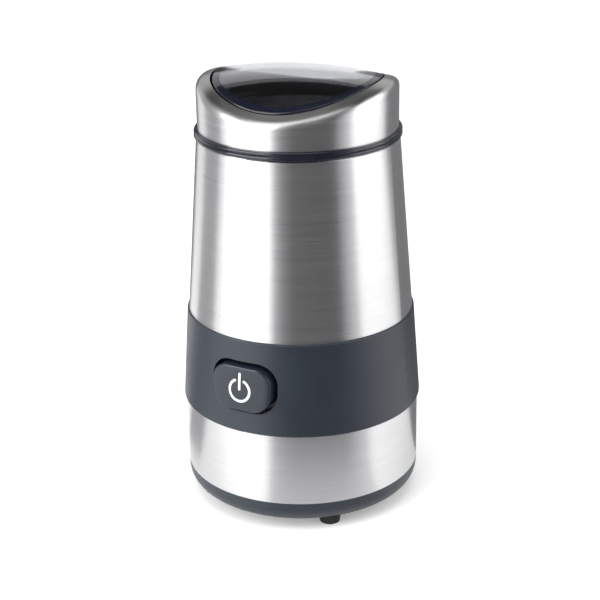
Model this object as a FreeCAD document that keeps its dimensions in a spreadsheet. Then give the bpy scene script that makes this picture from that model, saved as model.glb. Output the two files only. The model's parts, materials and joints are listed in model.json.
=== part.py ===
# Electric spice grinder: a steel-clad motor housing, a grinding bowl with a spinning blade
# and a lift-off lid. Millimetres. The grinder's axis is Z, the floor is z = 0, and the
# button faces -Y.
import FreeCAD
import Part
import Sketcher

import math
import operator
import os

from FreeCAD import Placement, Rotation, Vector

# Driving dimensions
SIZES = {
    # layers of the housing, from the floor up
    "foot_height": 3.0,
    "base_height": 11.0,
    "lower_band_height": 31.4,
    "grip_band_height": 40.4,
    "upper_shell_height": 75.3,
    "collar_height": 8.0,
    # outer radii of the housing
    "base_radius": 51.0,
    "base_inset": 0.4,
    "base_edge": 10.0,
    "grip_proud": 1.0,
    "grip_taper": 2.9,
    "grip_edge": 0.6,
    "shell_inset": 2.6,
    "shell_radius_high": 42.6,
    "shell_edge": 0.7,
    "steel_gauge": 0.8,
    "sleeve_gap": 0.2,
    "housing_wall": 2.2,
    "spigot_depth": 2.0,
    "spigot_wall": 1.4,
    # base cover, feet and its screws
    "base_floor_wall": 2.5,
    "base_lip_height": 4.0,
    "base_lip_wall": 2.0,
    "vent_inner": 14.0,
    "vent_outer": 28.0,
    "vent_width": 3.0,
    "vent_count": 12,
    "foot_circle": 41.0,
    "foot_radius": 4.8,
    "foot_recess": 0.8,
    "foot_peg_radius": 2.0,
    "foot_peg_height": 3.2,
    "base_screw_circle": 34.5,
    "base_boss_radius": 5.5,
    "base_boss_height": 3.0,
    "base_column_radius": 4.0,
    "base_column_height": 14.0,
    "screw_radius": 1.5,
    "screw_head_radius": 2.9,
    "screw_head_height": 2.2,
    "screw_length": 16.0,
    "hole_clearance": 0.15,
    # cord inlet at the back
    "gland_height": 23.5,
    "gland_radius": 6.2,
    "gland_bore": 3.4,
    "gland_flange_radius": 8.6,
    "gland_flange_depth": 1.9,
    "gland_length": 11.0,
    "gland_clearance": 0.15,
    "terminal_width": 16.4,
    "terminal_depth": 8.5,
    "terminal_height": 8.0,
    "terminal_pitch": 4.0,
    "terminal_gap": 5.0,
    # collar, bowl and gasket
    "collar_radius": 36.8,
    "gasket_thickness": 0.9,
    "bowl_depth": 32.8,
    "bowl_radius": 33.5,
    "bowl_corner": 6.0,
    "bowl_hill_height": 3.0,
    "bowl_hill_radius": 15.0,
    "bowl_flange_radius": 37.0,
    "seal_radius": 6.3,
    "seal_flange_radius": 8.0,
    "seal_flange_height": 0.8,
    "seal_depth": 5.0,
    # motor
    "motor_drop": 17.0,
    "plate_gauge": 3.0,
    "plate_clearance": 0.7,
    "plate_boss_radius": 10.0,
    "plate_boss_drop": 5.0,
    "plate_boss_rise": 3.0,
    "plate_hole_circle": 22.0,
    "plate_hole_radius": 5.5,
    "fan_room": 24.0,
    "stack_height": 28.0,
    "stack_width": 62.0,
    "stack_depth": 50.0,
    "stack_corner": 4.0,
    "stator_bore": 17.5,
    "window_width": 50.8,
    "window_inner": 13.0,
    "window_outer": 19.6,
    "coil_end_gap": 0.5,
    "coil_thickness": 6.4,
    "coil_rise": 6.4,
    "coil_clearance": 0.3,
    "post_radius": 3.2,
    "bolt_inset": 3.5,
    "bolt_radius": 1.6,
    "bracket_drop": 35.0,
    "bracket_gauge": 3.0,
    "bearing_radius": 7.0,
    "bearing_length": 10.4,
    "running_gap": 0.05,
    "seat_gap": 0.05,
    "shaft_radius": 4.0,
    "shaft_tail": 5.0,
    "core_gap": 0.5,
    "slot_count": 12,
    "slot_width": 2.2,
    "slot_depth": 6.0,
    "winding_radius": 15.2,
    "winding_height": 6.0,
    "commutator_radius": 9.5,
    "commutator_height": 13.0,
    "commutator_drop": 8.5,
    "fan_radius": 27.0,
    "fan_hub_radius": 7.5,
    "fan_height": 8.0,
    "fan_lift": 8.5,
    "fan_blades": 9,
    "mount_circle": 37.5,
    "mount_angle": 20.0,
    "mount_radius": 4.0,
    "mount_height": 2.0,
    "lug_height": 8.0,
    "brush_width": 6.4,
    "brush_height": 6.2,
    "brush_length": 12.0,
    "brush_gap": 0.4,
    "holder_wall": 1.2,
    "holder_length": 16.5,
    "brush_fit": 0.15,
    "brush_wire": 0.5,
    "brush_spring_radius": 2.0,
    # blade on its threaded shaft end
    "shoulder_rise": 4.4,
    "thread_radius": 3.0,
    "blade_collar_radius": 6.4,
    "blade_collar_height": 1.5,
    "blade_gauge": 1.5,
    "blade_width": 13.0,
    "blade_reach": 28.0,
    "blade_tip_width": 8.0,
    "blade_twist": 16.0,
    "blade_tip_rise": 3.4,
    "nut_width": 10.0,
    "nut_height": 3.6,
    "nut_dome": 1.6,
    # button, its spring and the switch behind it
    "button_width": 29.4,
    "button_height": 20.6,
    "button_corner": 8.4,
    "button_gap": 0.7,
    "button_raise": 1.3,
    "button_edge": 1.3,
    "button_wall": 2.0,
    "button_travel": 2.2,
    "button_lip": 1.4,
    "button_lip_wall": 1.4,
    "button_lip_gap": 0.3,
    "button_post_radius": 2.2,
    "button_spring_radius": 5.0,
    "button_wire": 0.7,
    "opening_margin": 2.2,
    "switch_gap": 0.1,
    "switch_plate_drop": 2.2,
    "switch_plate_gauge": 1.4,
    "switch_plate_height": 27.0,
    "switch_width": 20.0,
    "switch_height": 12.0,
    "switch_depth": 9.0,
    "plunger_radius": 1.2,
    "plunger_length": 6.6,
    # lid lock that follows the lid
    "rod_circle": 38.7,
    "rod_radius": 1.1,
    "rod_travel": 3.0,
    "rod_flange_radius": 2.2,
    "rod_flange_height": 1.2,
    "rod_spring_height": 12.0,
    "rod_spring_radius": 1.7,
    "rod_wire": 0.6,
    "rod_gap": 0.1,
    "lock_switch_height": 13.0,
    "lock_switch_depth": 11.0,
    "lock_drop": 15.0,
    "lock_button_radius": 1.4,
    "lock_button_height": 0.6,
    "tab_width": 8.0,
    "tab_clearance": 0.5,
    # lid
    "lid_seat_gap": 0.1,
    "ring_height": 3.4,
    "ring_radius": 43.5,
    "ring_groove": 0.5,
    "lid_radius": 42.0,
    "lid_turn": 11.0,
    "liner_wall": 2.0,
    "window_height": 25.1,
    "crown_along": 185.0,
    "crown_across": 60.0,
    "window_radius": 35.2,
    "window_wall": 2.2,
    "window_edge": 0.7,
    "shoulder_drop": 3.2,
    "lip_inner": 36.0,
    "lip_rise": 2.2,
    "lip_corner": 1.6,
}

doc = FreeCAD.newDocument("spice_grinder")
sheet = doc.addObject("Spreadsheet::Sheet", "Sizes")
for row, (alias, dimension) in enumerate(SIZES.items(), start=1):
    sheet.set(f"A{row}", alias)
    sheet.set(f"B{row}", str(dimension))
    sheet.setAlias(f"B{row}", alias)
doc.recompute()


class Size:
    """A number that also knows its expression in the spreadsheet's names."""

    def __init__(self, number, text):
        self.number = number
        self.text = text

    def __add__(self, other):
        return combine(self, "+", other)

    def __radd__(self, other):
        return combine(other, "+", self)

    def __sub__(self, other):
        return combine(self, "-", other)

    def __rsub__(self, other):
        return combine(other, "-", self)

    def __mul__(self, other):
        return combine(self, "*", other)

    def __rmul__(self, other):
        return combine(other, "*", self)

    def __truediv__(self, other):
        return combine(self, "/", other)

    def __neg__(self):
        return combine(0, "-", self)


OPERATIONS = {"+": operator.add, "-": operator.sub, "*": operator.mul, "/": operator.truediv}


def number(value):
    return value.number if isinstance(value, Size) else float(value)


def text(value):
    return value.text if isinstance(value, Size) else f"({float(value)})"


def combine(left, sign, right):
    result = OPERATIONS[sign](number(left), number(right))
    return Size(result, f"({text(left)} {sign} {text(right)})")


def root(value):
    return Size(math.sqrt(number(value)), f"sqrt({text(value)})")


def cosine(angle):
    return Size(math.cos(math.radians(number(angle))), f"cos({text(angle)})")


def sine(angle):
    return Size(math.sin(math.radians(number(angle))), f"sin({text(angle)})")


def size(alias):
    return Size(float(SIZES[alias]), f"Sizes.{alias}")


def polar(radius, angle):
    """The point at a radius and an angle in degrees, counted from +X."""
    return radius * cosine(angle), radius * sine(angle)


# Properties, places and sketches

def bind(thing, name, value):
    """Give a property a value, tied to the spreadsheet where the value is a Size."""
    if isinstance(value, Size):
        thing.setExpression(name, value.text)
    else:
        setattr(thing, name, value)


TURNS = {
    "+z": Rotation(),
    "+x": Rotation(Vector(0, 1, 0), 90),
    "+y": Rotation(Vector(1, 0, 0), -90),
    "-y": Rotation(Vector(1, 0, 0), 90),
}


def place(thing, x, y, z, turn=TURNS["+z"]):
    thing.Placement = Placement(Vector(number(x), number(y), number(z)), turn)
    for axis, value in (("x", x), ("y", y), ("z", z)):
        if isinstance(value, Size):
            thing.setExpression(f"Placement.Base.{axis}", value.text)
    return thing


def sketch_on(body, role, lift=0.0):
    """A sketch on one of the body's own origin planes, moved along the plane's normal."""
    plane = next(part for part in body.Origin.OriginFeatures if part.Role == role)
    sketch = body.newObject("Sketcher::SketchObject", f"{body.Name}_sketch")
    sketch.AttachmentSupport = [(plane, "")]
    sketch.MapMode = "FlatFace"
    if isinstance(lift, Size):
        sketch.AttachmentOffset = Placement(Vector(0, 0, lift.number), Rotation())
        sketch.setExpression("AttachmentOffset.Base.z", lift.text)
    return sketch


def fix_datum(sketch, constraint, value):
    index = sketch.addConstraint(constraint)
    if isinstance(value, Size):
        sketch.setExpression(f"Constraints[{index}]", value.text)


def fix_point(sketch, item, end, x, y):
    """Hold a sketch point at x, y; a plain zero puts it on the axis."""
    for kind, value, axis in (("DistanceX", x, -2), ("DistanceY", y, -1)):
        if isinstance(value, Size):
            fix_datum(sketch, Sketcher.Constraint(kind, -1, 1, item, end, value.number), value)
        else:
            sketch.addConstraint(Sketcher.Constraint("PointOnObject", item, end, axis))


def outline(sketch, corners):
    """Draw a closed outline. A corner is (x, y), reached by a line, or (x, y, bend), reached
    by an arc of that radius, which turns left where the bend is positive, else right."""
    first = sketch.GeometryCount
    points = [Vector(number(corner[0]), number(corner[1]), 0) for corner in corners]
    for index, corner in enumerate(corners):
        start, end = points[index - 1], points[index]
        if len(corner) == 2:
            sketch.addGeometry(Part.LineSegment(start, end), False)
            continue
        bend = number(corner[2])
        chord = end - start
        reach = math.sqrt(bend * bend - chord.Length ** 2 / 4)
        middle = (start + end) * 0.5
        side = Vector(-chord.y, chord.x, 0).normalize() * math.copysign(reach, bend)
        centre = middle + side
        low, high = (start, end) if bend > 0 else (end, start)
        angles = [math.atan2(p.y - centre.y, p.x - centre.x) for p in (low, high)]
        circle = Part.Circle(centre, Vector(0, 0, 1), abs(bend))
        sketch.addGeometry(Part.ArcOfCircle(circle, *angles), False)
    for index, corner in enumerate(corners):
        item = first + index
        after = first + (index + 1) % len(corners)
        end = arc_end(corner, arriving=True)
        start = arc_end(corners[(index + 1) % len(corners)], arriving=False)
        sketch.addConstraint(Sketcher.Constraint("Coincident", item, end, after, start))
        fix_point(sketch, item, end, corner[0], corner[1])
        if len(corner) == 3:
            bend = corner[2] if number(corner[2]) > 0 else -corner[2]
            fix_datum(sketch, Sketcher.Constraint("Radius", item, bend.number), bend)
    return sketch


def arc_end(corner, arriving):
    """Which end of a corner's edge lies at the corner: arcs that turn right are stored reversed."""
    clockwise = len(corner) == 3 and number(corner[2]) < 0
    return 1 if arriving == clockwise else 2


def circle(sketch, x, y, radius):
    spot = Vector(number(x), number(y), 0)
    item = sketch.addGeometry(Part.Circle(spot, Vector(0, 0, 1), number(radius)), False)
    fix_point(sketch, item, 3, x, y)
    fix_datum(sketch, Sketcher.Constraint("Radius", item, number(radius)), radius)
    return sketch


def rounded(sketch, x, y, width, height, corner):
    """A rectangle about x, y with round corners."""
    left, right = x - width / 2, x + width / 2
    low, high = y - height / 2, y + height / 2
    outline(sketch, [
        (left + corner, low, corner),
        (right - corner, low),
        (right, low + corner, corner),
        (right, high - corner),
        (right - corner, high, corner),
        (left + corner, high),
        (left, high - corner, corner),
        (left, low + corner),
    ])
    return sketch


# Bodies made of sketched features

def new_body(name):
    return doc.addObject("PartDesign::Body", name)


def revolve(body, corners):
    """Turn an outline of (radius, z) corners about the grinder's axis."""
    sketch = outline(sketch_on(body, "XZ_Plane"), corners)
    turn = body.newObject("PartDesign::Revolution", f"{body.Name}_turn")
    turn.Profile = sketch
    turn.ReferenceAxis = (sketch, ["V_Axis"])
    turn.Angle = 360.0
    body.Tip = turn
    return turn


def revolved(name, corners):
    body = new_body(name)
    revolve(body, corners)
    return body


def pad(body, sketch, length):
    solid = body.newObject("PartDesign::Pad", f"{body.Name}_pad")
    solid.Profile = sketch
    bind(solid, "Length", length)
    body.Tip = solid
    return solid


def pocket(body, sketch, length, reverse=False):
    """Cut against the sketch's normal, or along it where reversed."""
    hollow = body.newObject("PartDesign::Pocket", f"{body.Name}_pocket")
    hollow.Profile = sketch
    hollow.Reversed = reverse
    bind(hollow, "Length", length)
    body.Tip = hollow
    return hollow


def repeat(body, feature, count):
    """Copy a feature round the Z axis, evenly spaced."""
    axis = next(part for part in body.Origin.OriginFeatures if part.Role == "Z_Axis")
    pattern = body.newObject("PartDesign::PolarPattern", f"{body.Name}_pattern")
    pattern.Originals = [feature]
    pattern.Axis = (axis, [""])
    pattern.Angle = 360.0
    bind(pattern, "Occurrences", count)
    body.Tip = pattern
    return pattern


def edges_at(shape, z, radius):
    """Names of the round edges about the Z axis at a height, with a radius."""
    names = []
    for index, edge in enumerate(shape.Edges, start=1):
        curve = edge.Curve
        if not isinstance(curve, Part.Circle):
            continue
        level = abs(curve.Center.z - number(z)) < 1e-3
        if level and abs(curve.Radius - number(radius)) < 1e-3:
            names.append(f"Edge{index}")
    return names


def round_edges(body, spots, radius):
    """Fillet the round edges at each (z, radius)."""
    doc.recompute()
    base = body.Tip
    names = [name for z, reach in spots for name in edges_at(base.Shape, z, reach)]
    fillet = body.newObject("PartDesign::Fillet", f"{body.Name}_edge")
    fillet.Base = (base, names)
    bind(fillet, "Radius", radius)
    body.Tip = fillet
    return fillet


# Solids made of primitives

def cylinder(name, radius, height, x=0, y=0, z=0, along="+z"):
    solid = doc.addObject("Part::Cylinder", name)
    bind(solid, "Radius", radius)
    bind(solid, "Height", height)
    return place(solid, x, y, z, TURNS[along])


def cone(name, low, high, height, x=0, y=0, z=0):
    solid = doc.addObject("Part::Cone", name)
    bind(solid, "Radius1", low)
    bind(solid, "Radius2", high)
    bind(solid, "Height", height)
    return place(solid, x, y, z)


def block(name, x, y, z):
    """A box between two limits on each axis."""
    solid = doc.addObject("Part::Box", name)
    for side, (low, high) in (("Length", x), ("Width", y), ("Height", z)):
        bind(solid, side, high - low)
    return place(solid, x[0], y[0], z[0])


def radial_block(name, radii, width, z, angle):
    """A box that lies along a radius at an angle, as wide as given."""
    solid = block(name, radii, (-width / 2, width / 2), z)
    x = radii[0] * cosine(angle) + width / 2 * sine(angle)
    y = radii[0] * sine(angle) - width / 2 * cosine(angle)
    return place(solid, x, y, z[0], Rotation(Vector(0, 0, 1), number(angle)))


def cut(name, base, tools):
    tool = tools[0] if len(tools) == 1 else fuse(f"{name}_tools", tools)
    result = doc.addObject("Part::Cut", name)
    result.Base = base
    result.Tool = tool
    return result


def fuse(name, solids):
    result = doc.addObject("Part::MultiFuse", name)
    result.Shapes = solids
    return result


def common(name, first, second):
    result = doc.addObject("Part::Common", name)
    result.Base = first
    result.Tool = second
    return result


def group(name, solids):
    """Separate solids that share one node."""
    result = doc.addObject("Part::Compound", name)
    result.Links = solids
    return result


def coil_spring(name, radius, wire, height, turns, x, y, z, along="+z"):
    """An open coil of round wire; its ends lie inside the height."""
    path = doc.addObject("Part::Helix", f"{name}_path")
    bind(path, "Radius", radius)
    bind(path, "Height", height - 2 * wire)
    bind(path, "Pitch", (height - 2 * wire) / turns)
    section = doc.addObject("Part::Circle", f"{name}_section")
    bind(section, "Radius", wire)
    place(section, radius, 0, 0, TURNS["-y"])
    doc.recompute()
    sweep = doc.addObject("Part::Sweep", f"{name}_wire")
    sweep.Sections = [section]
    sweep.Spine = (path, [f"Edge{index + 1}" for index in range(len(path.Shape.Edges))])
    sweep.Solid = True
    sweep.Frenet = True
    spring = doc.addObject("Part::Compound", name)
    spring.Links = [sweep]
    lift = {"+z": (0, 0, 1), "+x": (1, 0, 0), "-y": (0, -1, 0)}[along]
    start = [base + wire * step for base, step in zip((x, y, z), lift)]
    return place(spring, *start, TURNS[along])


# Levels from the floor up, and radii that several parts share
foot_height = size("foot_height")
gauge = size("steel_gauge")
sleeve_gap = size("sleeve_gap")
wall = size("housing_wall")
seat_gap = size("seat_gap")
running_gap = size("running_gap")

band_low = foot_height + size("base_height")
grip_low = band_low + size("lower_band_height")
grip_high = grip_low + size("grip_band_height")
shell_top = grip_high + size("upper_shell_height")
deck_top = shell_top - gauge - sleeve_gap
deck_under = deck_top - wall
collar_top = shell_top + size("collar_height")
bowl_flange = collar_top + size("gasket_thickness")
bowl_rim = bowl_flange + gauge
bowl_floor = bowl_rim - size("bowl_depth")
hill_top = bowl_floor + size("bowl_hill_height")
shaft_shoulder = bowl_floor + size("shoulder_rise")
plate_top = bowl_floor - size("motor_drop")
plate_under = plate_top - size("plate_gauge")
stack_top = plate_under - size("fan_room")
stack_under = stack_top - size("stack_height")
bracket_top = stack_under - size("bracket_drop")
bracket_under = bracket_top - size("bracket_gauge")
base_floor = foot_height + size("base_floor_wall")

base_radius = size("base_radius")
grip_radius_low = base_radius + size("grip_proud")
grip_radius_high = grip_radius_low - size("grip_taper")
shell_radius_low = base_radius - size("shell_inset")
low_inner = base_radius - gauge - sleeve_gap
grip_inner = shell_radius_low - gauge
core_radius = grip_inner - sleeve_gap
collar_radius = size("collar_radius")
bowl_outer = size("bowl_radius") + gauge
collar_inner = bowl_outer + 1.5 * sleeve_gap
shaft_radius = size("shaft_radius")
screw_radius = size("screw_radius")
screw_hole = screw_radius + size("hole_clearance")

BASE_SCREWS = (-90, 30, 150)
FEET = (45, 135, 225, 315)


def shell_radius(z):
    """Outside radius of the conical steel shell at a height."""
    fall = shell_radius_low - size("shell_radius_high")
    return shell_radius_low - fall * (z - grip_high) / size("upper_shell_height")


def housing_radius(z):
    """Outside radius of the moulded housing inside the conical shell."""
    return shell_radius(z) - gauge - sleeve_gap


def screw(name, x, y, z, length, up=True):
    """A pan-head screw whose head bears on height z; its shank points up or down."""
    head_height = size("screw_head_height")
    shank_low = z if up else z - length
    head_low = z - head_height if up else z
    shank = cylinder(f"{name}_shank", screw_radius, length, x, y, shank_low)
    head = cylinder(f"{name}_head", size("screw_head_radius"), head_height, x, y, head_low)
    return fuse(name, [shank, head])


# Base cover with its vents, feet and screws

def base_cover():
    outer = base_radius - size("base_inset")
    edge = size("base_edge")
    lip_outer = low_inner - wall - sleeve_gap
    lip_inner = lip_outer - size("base_lip_wall")
    body = revolved("base_shell", [
        (0, foot_height),
        (outer - edge, foot_height),
        (outer, foot_height + edge, edge),
        (outer, band_low),
        (lip_outer, band_low),
        (lip_outer, band_low + size("base_lip_height")),
        (lip_inner, band_low + size("base_lip_height")),
        (lip_inner, base_floor + size("base_floor_wall")),
        (lip_inner - size("base_floor_wall"), base_floor),
        (0, base_floor),
    ])
    sketch = sketch_on(body, "XY_Plane", base_floor)
    middle = (size("vent_inner") + size("vent_outer")) / 2
    width = size("vent_width")
    rounded(sketch, middle, 0 * middle, size("vent_outer") - size("vent_inner"), width, 0.45 * width)
    slot = pocket(body, sketch, 2 * size("base_floor_wall"))
    repeat(body, slot, size("vent_count"))
    bosses, holes = [], []
    boss_top = base_floor + size("base_boss_height")
    head_height = size("screw_head_height")
    for index, angle in enumerate(BASE_SCREWS):
        x, y = polar(size("base_screw_circle"), angle)
        boss_height = boss_top - foot_height
        bosses.append(cylinder(f"base_boss_{index}", size("base_boss_radius"), boss_height,
                               x, y, foot_height))
        recess = size("screw_head_radius") + size("hole_clearance")
        holes.append(cylinder(f"base_recess_{index}", recess, head_height, x, y, foot_height))
        holes.append(cylinder(f"base_hole_{index}", screw_hole, boss_height, x, y, foot_height))
    for index, angle in enumerate(FEET):
        x, y = polar(size("foot_circle"), angle)
        recess = size("foot_radius") + size("hole_clearance")
        peg_hole = size("foot_peg_radius") + size("hole_clearance")
        holes.append(cylinder(f"foot_recess_{index}", recess, size("foot_recess"),
                              x, y, foot_height))
        holes.append(cylinder(f"foot_hole_{index}", peg_hole, 2 * size("base_floor_wall"),
                              x, y, foot_height))
    return cut("base_cover", fuse("base_and_bosses", [body, *bosses]), holes)


def rubber_feet():
    feet = []
    for index, angle in enumerate(FEET):
        x, y = polar(size("foot_circle"), angle)
        radius = size("foot_radius")
        pad_height = foot_height + size("foot_recess")
        foot = cone(f"foot_pad_{index}", 0.9 * radius, radius, pad_height, x, y, 0)
        peg = cylinder(f"foot_peg_{index}", size("foot_peg_radius"), size("foot_peg_height"),
                       x, y, pad_height)
        feet.append(fuse(f"foot_{index}", [foot, peg]))
    return group("rubber_feet", feet)


def base_screws():
    screws = []
    for index, angle in enumerate(BASE_SCREWS):
        x, y = polar(size("base_screw_circle"), angle)
        head_seat = foot_height + size("screw_head_height")
        screws.append(screw(f"base_screw_{index}", x, y, head_seat, size("screw_length")))
    return group("base_screws", screws)


def cord_gland():
    """The bush at the back that the cord would pass; the cord itself is left out."""
    z = foot_height + size("gland_height")
    back = base_radius + seat_gap
    length = size("gland_length")
    flange = cylinder("gland_flange_disc", size("gland_flange_radius"),
                      2 * size("gland_flange_depth"), 0, base_radius - size("gland_flange_depth"),
                      z, "+y")
    sleeve = cylinder("gland_sleeve_form", back, 2 * size("gland_flange_radius"),
                      0, 0, z - size("gland_flange_radius"))
    outside = cut("gland_flange", flange, [sleeve])
    tube = cylinder("gland_tube", size("gland_radius"), length, 0, back + 0.5 * gauge - length,
                    z, "+y")
    bore = cylinder("gland_bore", size("gland_bore"), 2 * length, 0, back - 1.2 * length, z, "+y")
    return cut("cord_gland", fuse("gland_solid", [outside, tube]), [bore])


def gland_hole(name):
    z = foot_height + size("gland_height")
    radius = size("gland_radius") + size("gland_clearance")
    return cylinder(name, radius, base_radius, 0, base_radius / 2, z, "+y")


def terminal_block():
    """The block on the base floor where the cord's wires end."""
    half = size("terminal_width") / 2
    back = low_inner - wall - sleeve_gap - size("base_lip_wall") - size("terminal_gap")
    depth, height = size("terminal_depth"), size("terminal_height")
    body = block("terminal_body", (-half, half), (back - depth, back),
                 (base_floor, base_floor + height))
    ways = [cylinder(f"terminal_way_{index}", size("screw_radius"), 2 * depth,
                     step * size("terminal_pitch"), back - 1.5 * depth,
                     base_floor + 0.6 * height, "+y") for index, step in enumerate((-1, 0, 1))]
    return cut("terminal_block", body, ways)


# Steel sleeves and the grip band between them

def lower_steel_band():
    body = revolved("lower_sleeve", [
        (base_radius - gauge, band_low),
        (base_radius, band_low),
        (base_radius, grip_low),
        (base_radius - gauge, grip_low),
    ])
    return cut("lower_steel_band", body, [gland_hole("sleeve_gland_hole")])


def grip_band():
    body = revolved("grip_band", [
        (grip_inner, grip_low),
        (grip_radius_low, grip_low),
        (grip_radius_high, grip_high),
        (grip_inner, grip_high),
    ])
    edges = [(grip_low, grip_radius_low), (grip_high, grip_radius_high)]
    round_edges(body, edges, size("grip_edge"))
    sketch = sketch_on(body, "XZ_Plane")
    gap = size("button_gap")
    button_outline(sketch, gap)
    pocket(body, sketch, grip_radius_low + 5, reverse=True)
    return body


def upper_steel_shell():
    """The conical sleeve; its top is turned in over the housing's deck."""
    top = size("shell_radius_high")
    hem = collar_radius + 1.5 * sleeve_gap
    body = revolved("upper_sleeve", [
        (grip_inner, grip_high),
        (shell_radius_low, grip_high),
        (top, shell_top),
        (hem, shell_top),
        (hem, shell_top - gauge),
        (shell_radius(shell_top - gauge) - gauge, shell_top - gauge),
    ])
    round_edges(body, [(shell_top, top)], size("shell_edge"))
    return cut("upper_steel_shell", body, [tab_slot("hem_slot")])


def tab_slot(name):
    """The slot that the lid's tab drops through, in the hem and in the deck below it."""
    half = size("tab_width") / 2 + size("tab_clearance")
    inner, outer = tab_reach()
    clearance = size("tab_clearance")
    return block(name, (-half, half), (inner - clearance, outer + clearance),
                 (deck_under - wall, shell_top + wall))


def tab_reach():
    """Radii between which the lid's tab stands."""
    inner = size("bowl_flange_radius") + size("tab_clearance") * 2
    return inner, inner + 0.5 * size("liner_wall") + 1.2


# Moulded inner housing

def main_housing():
    """The lower moulding: a wall behind the lower sleeve and the grip band, with a step."""
    step = grip_low - wall
    body = revolved("housing_shell", [
        (low_inner - wall, band_low),
        (low_inner, band_low),
        (low_inner, grip_low),
        (core_radius, grip_low),
        (core_radius, grip_high),
        (core_radius - wall, grip_high),
        (core_radius - wall, step),
        (low_inner - wall, step),
    ])
    sketch = sketch_on(body, "XZ_Plane")
    button_outline(sketch, size("button_lip") + size("button_gap") + size("opening_margin"))
    pocket(body, sketch, grip_radius_low + 5, reverse=True)
    holes = [gland_hole("housing_gland_hole")]
    boss_top = base_floor + size("base_boss_height")
    for index, angle in enumerate(BASE_SCREWS):
        x, y = polar(size("base_screw_circle"), angle)
        holes.append(cylinder(f"column_hole_{index}", screw_hole, size("screw_length"),
                              x, y, boss_top))
    return cut("main_housing", fuse("housing_and_columns", [body, *base_columns()]), holes)


def upper_housing():
    """The conical moulding behind the upper sleeve; a spigot centres it in the lower one."""
    spigot = core_radius - wall - sleeve_gap
    spigot_inner = spigot - size("spigot_wall")
    blend_top = grip_high + 2 * wall
    body = revolved("upper_wall", [
        (core_radius, grip_high),
        (housing_radius(deck_under), deck_under),
        (housing_radius(deck_under) - wall, deck_under),
        (housing_radius(blend_top) - wall, blend_top),
        (spigot_inner, grip_high + wall),
        (spigot_inner, grip_high - size("spigot_depth")),
        (spigot, grip_high - size("spigot_depth")),
        (spigot, grip_high),
    ])
    holes = [rod_guide_hole(), tab_slot("wall_slot")]
    for index, angle in enumerate(mount_angles()):
        x, y = polar(size("mount_circle"), angle)
        depth = size("lug_height") + 1
        holes.append(cylinder(f"lug_hole_{index}", screw_hole, depth, x, y,
                              plate_under - size("mount_height") - depth + 0.5))
    solid = fuse("upper_wall_and_lugs", [body, *motor_lugs(), rod_guide()])
    return cut("upper_housing", solid, holes)


def bowl_collar():
    """The ring on top: a deck with a spigot below and the collar that the bowl hangs in."""
    spigot = housing_radius(deck_under) - wall - sleeve_gap
    spigot_inner = spigot - size("spigot_wall")
    body = revolved("collar_ring", [
        (housing_radius(deck_under), deck_under),
        (housing_radius(deck_top), deck_top),
        (collar_radius, deck_top),
        (collar_radius, collar_top),
        (collar_inner, collar_top),
        (collar_inner, deck_under),
        (spigot_inner, deck_under),
        (spigot_inner, deck_under - size("spigot_depth")),
        (spigot, deck_under - size("spigot_depth")),
        (spigot, deck_under),
    ])
    return cut("bowl_collar", body, [tab_slot("deck_slot")])


def base_columns():
    """Screw columns that rise from the base bosses, each webbed to the wall."""
    columns = []
    low = base_floor + size("base_boss_height") + 0.5 * sleeve_gap
    height = size("base_column_height")
    reach = low_inner - 0.5 * wall
    lip_top = band_low + size("base_lip_height") + sleeve_gap
    for index, angle in enumerate(BASE_SCREWS):
        x, y = polar(size("base_screw_circle"), angle)
        columns.append(cylinder(f"column_{index}", size("base_column_radius"), height, x, y, low))
        columns.append(radial_block(f"column_web_{index}", (size("base_screw_circle"), reach),
                                    1.5 * wall, (lip_top, low + height), angle))
    return columns


def mount_angles():
    """Directions of the four motor mounts, in pairs beside the front and the back."""
    spread = size("mount_angle")
    return 90 - spread, 90 + spread, 270 - spread, 270 + spread


def motor_lugs():
    lugs = []
    top = plate_under - size("mount_height")
    low = top - size("lug_height")
    inner = size("mount_circle") - size("mount_radius")
    outer = housing_radius(low) - 0.5 * wall
    for index, angle in enumerate(mount_angles()):
        lugs.append(radial_block(f"lug_{index}", (inner, outer), 2 * size("mount_radius"),
                                 (low, top), angle))
    return lugs


def rod_guide():
    """The eye near the deck that keeps the interlock rod upright."""
    half = size("rod_flange_radius") + 0.8
    top = deck_under - 2 * size("rod_travel")
    outer = housing_radius(top) - 0.6 * wall
    return block("rod_guide", (-half, half), (bowl_outer + 1.2, outer), (top - 4, top))


def rod_guide_hole():
    hole = size("rod_radius") + running_gap
    top = deck_under - 2 * size("rod_travel")
    return cylinder("rod_guide_hole", hole, 6 * sleeve_gap + 6, 0, size("rod_circle"), top - 5)


# Grinding bowl, its gasket and the shaft seal

def grinding_bowl():
    """A spun steel cup that hangs by its flange, with a low hill round the shaft."""
    radius = size("bowl_radius")
    corner = size("bowl_corner")
    hill = size("bowl_hill_radius")
    hole = size("seal_radius") + size("hole_clearance")
    return revolved("grinding_bowl", [
        (hole, hill_top),
        (hole, hill_top - gauge),
        (seal_flange() + 0.5, hill_top - gauge),
        (hill, bowl_floor - gauge),
        (radius - corner, bowl_floor - gauge),
        (bowl_outer, bowl_floor + corner, corner + gauge),
        (bowl_outer, bowl_flange),
        (size("bowl_flange_radius"), bowl_flange),
        (size("bowl_flange_radius"), bowl_rim),
        (radius, bowl_rim),
        (radius, bowl_floor + corner),
        (radius - corner, bowl_floor, -corner),
        (hill, bowl_floor),
        (seal_flange() + 0.5, hill_top),
    ])


def seal_flange():
    return size("seal_flange_radius")


def bowl_gasket():
    inner = bowl_outer + sleeve_gap
    return revolved("bowl_gasket", [
        (inner, collar_top),
        (collar_radius, collar_top),
        (collar_radius, bowl_flange),
        (inner, bowl_flange),
    ])


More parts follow.
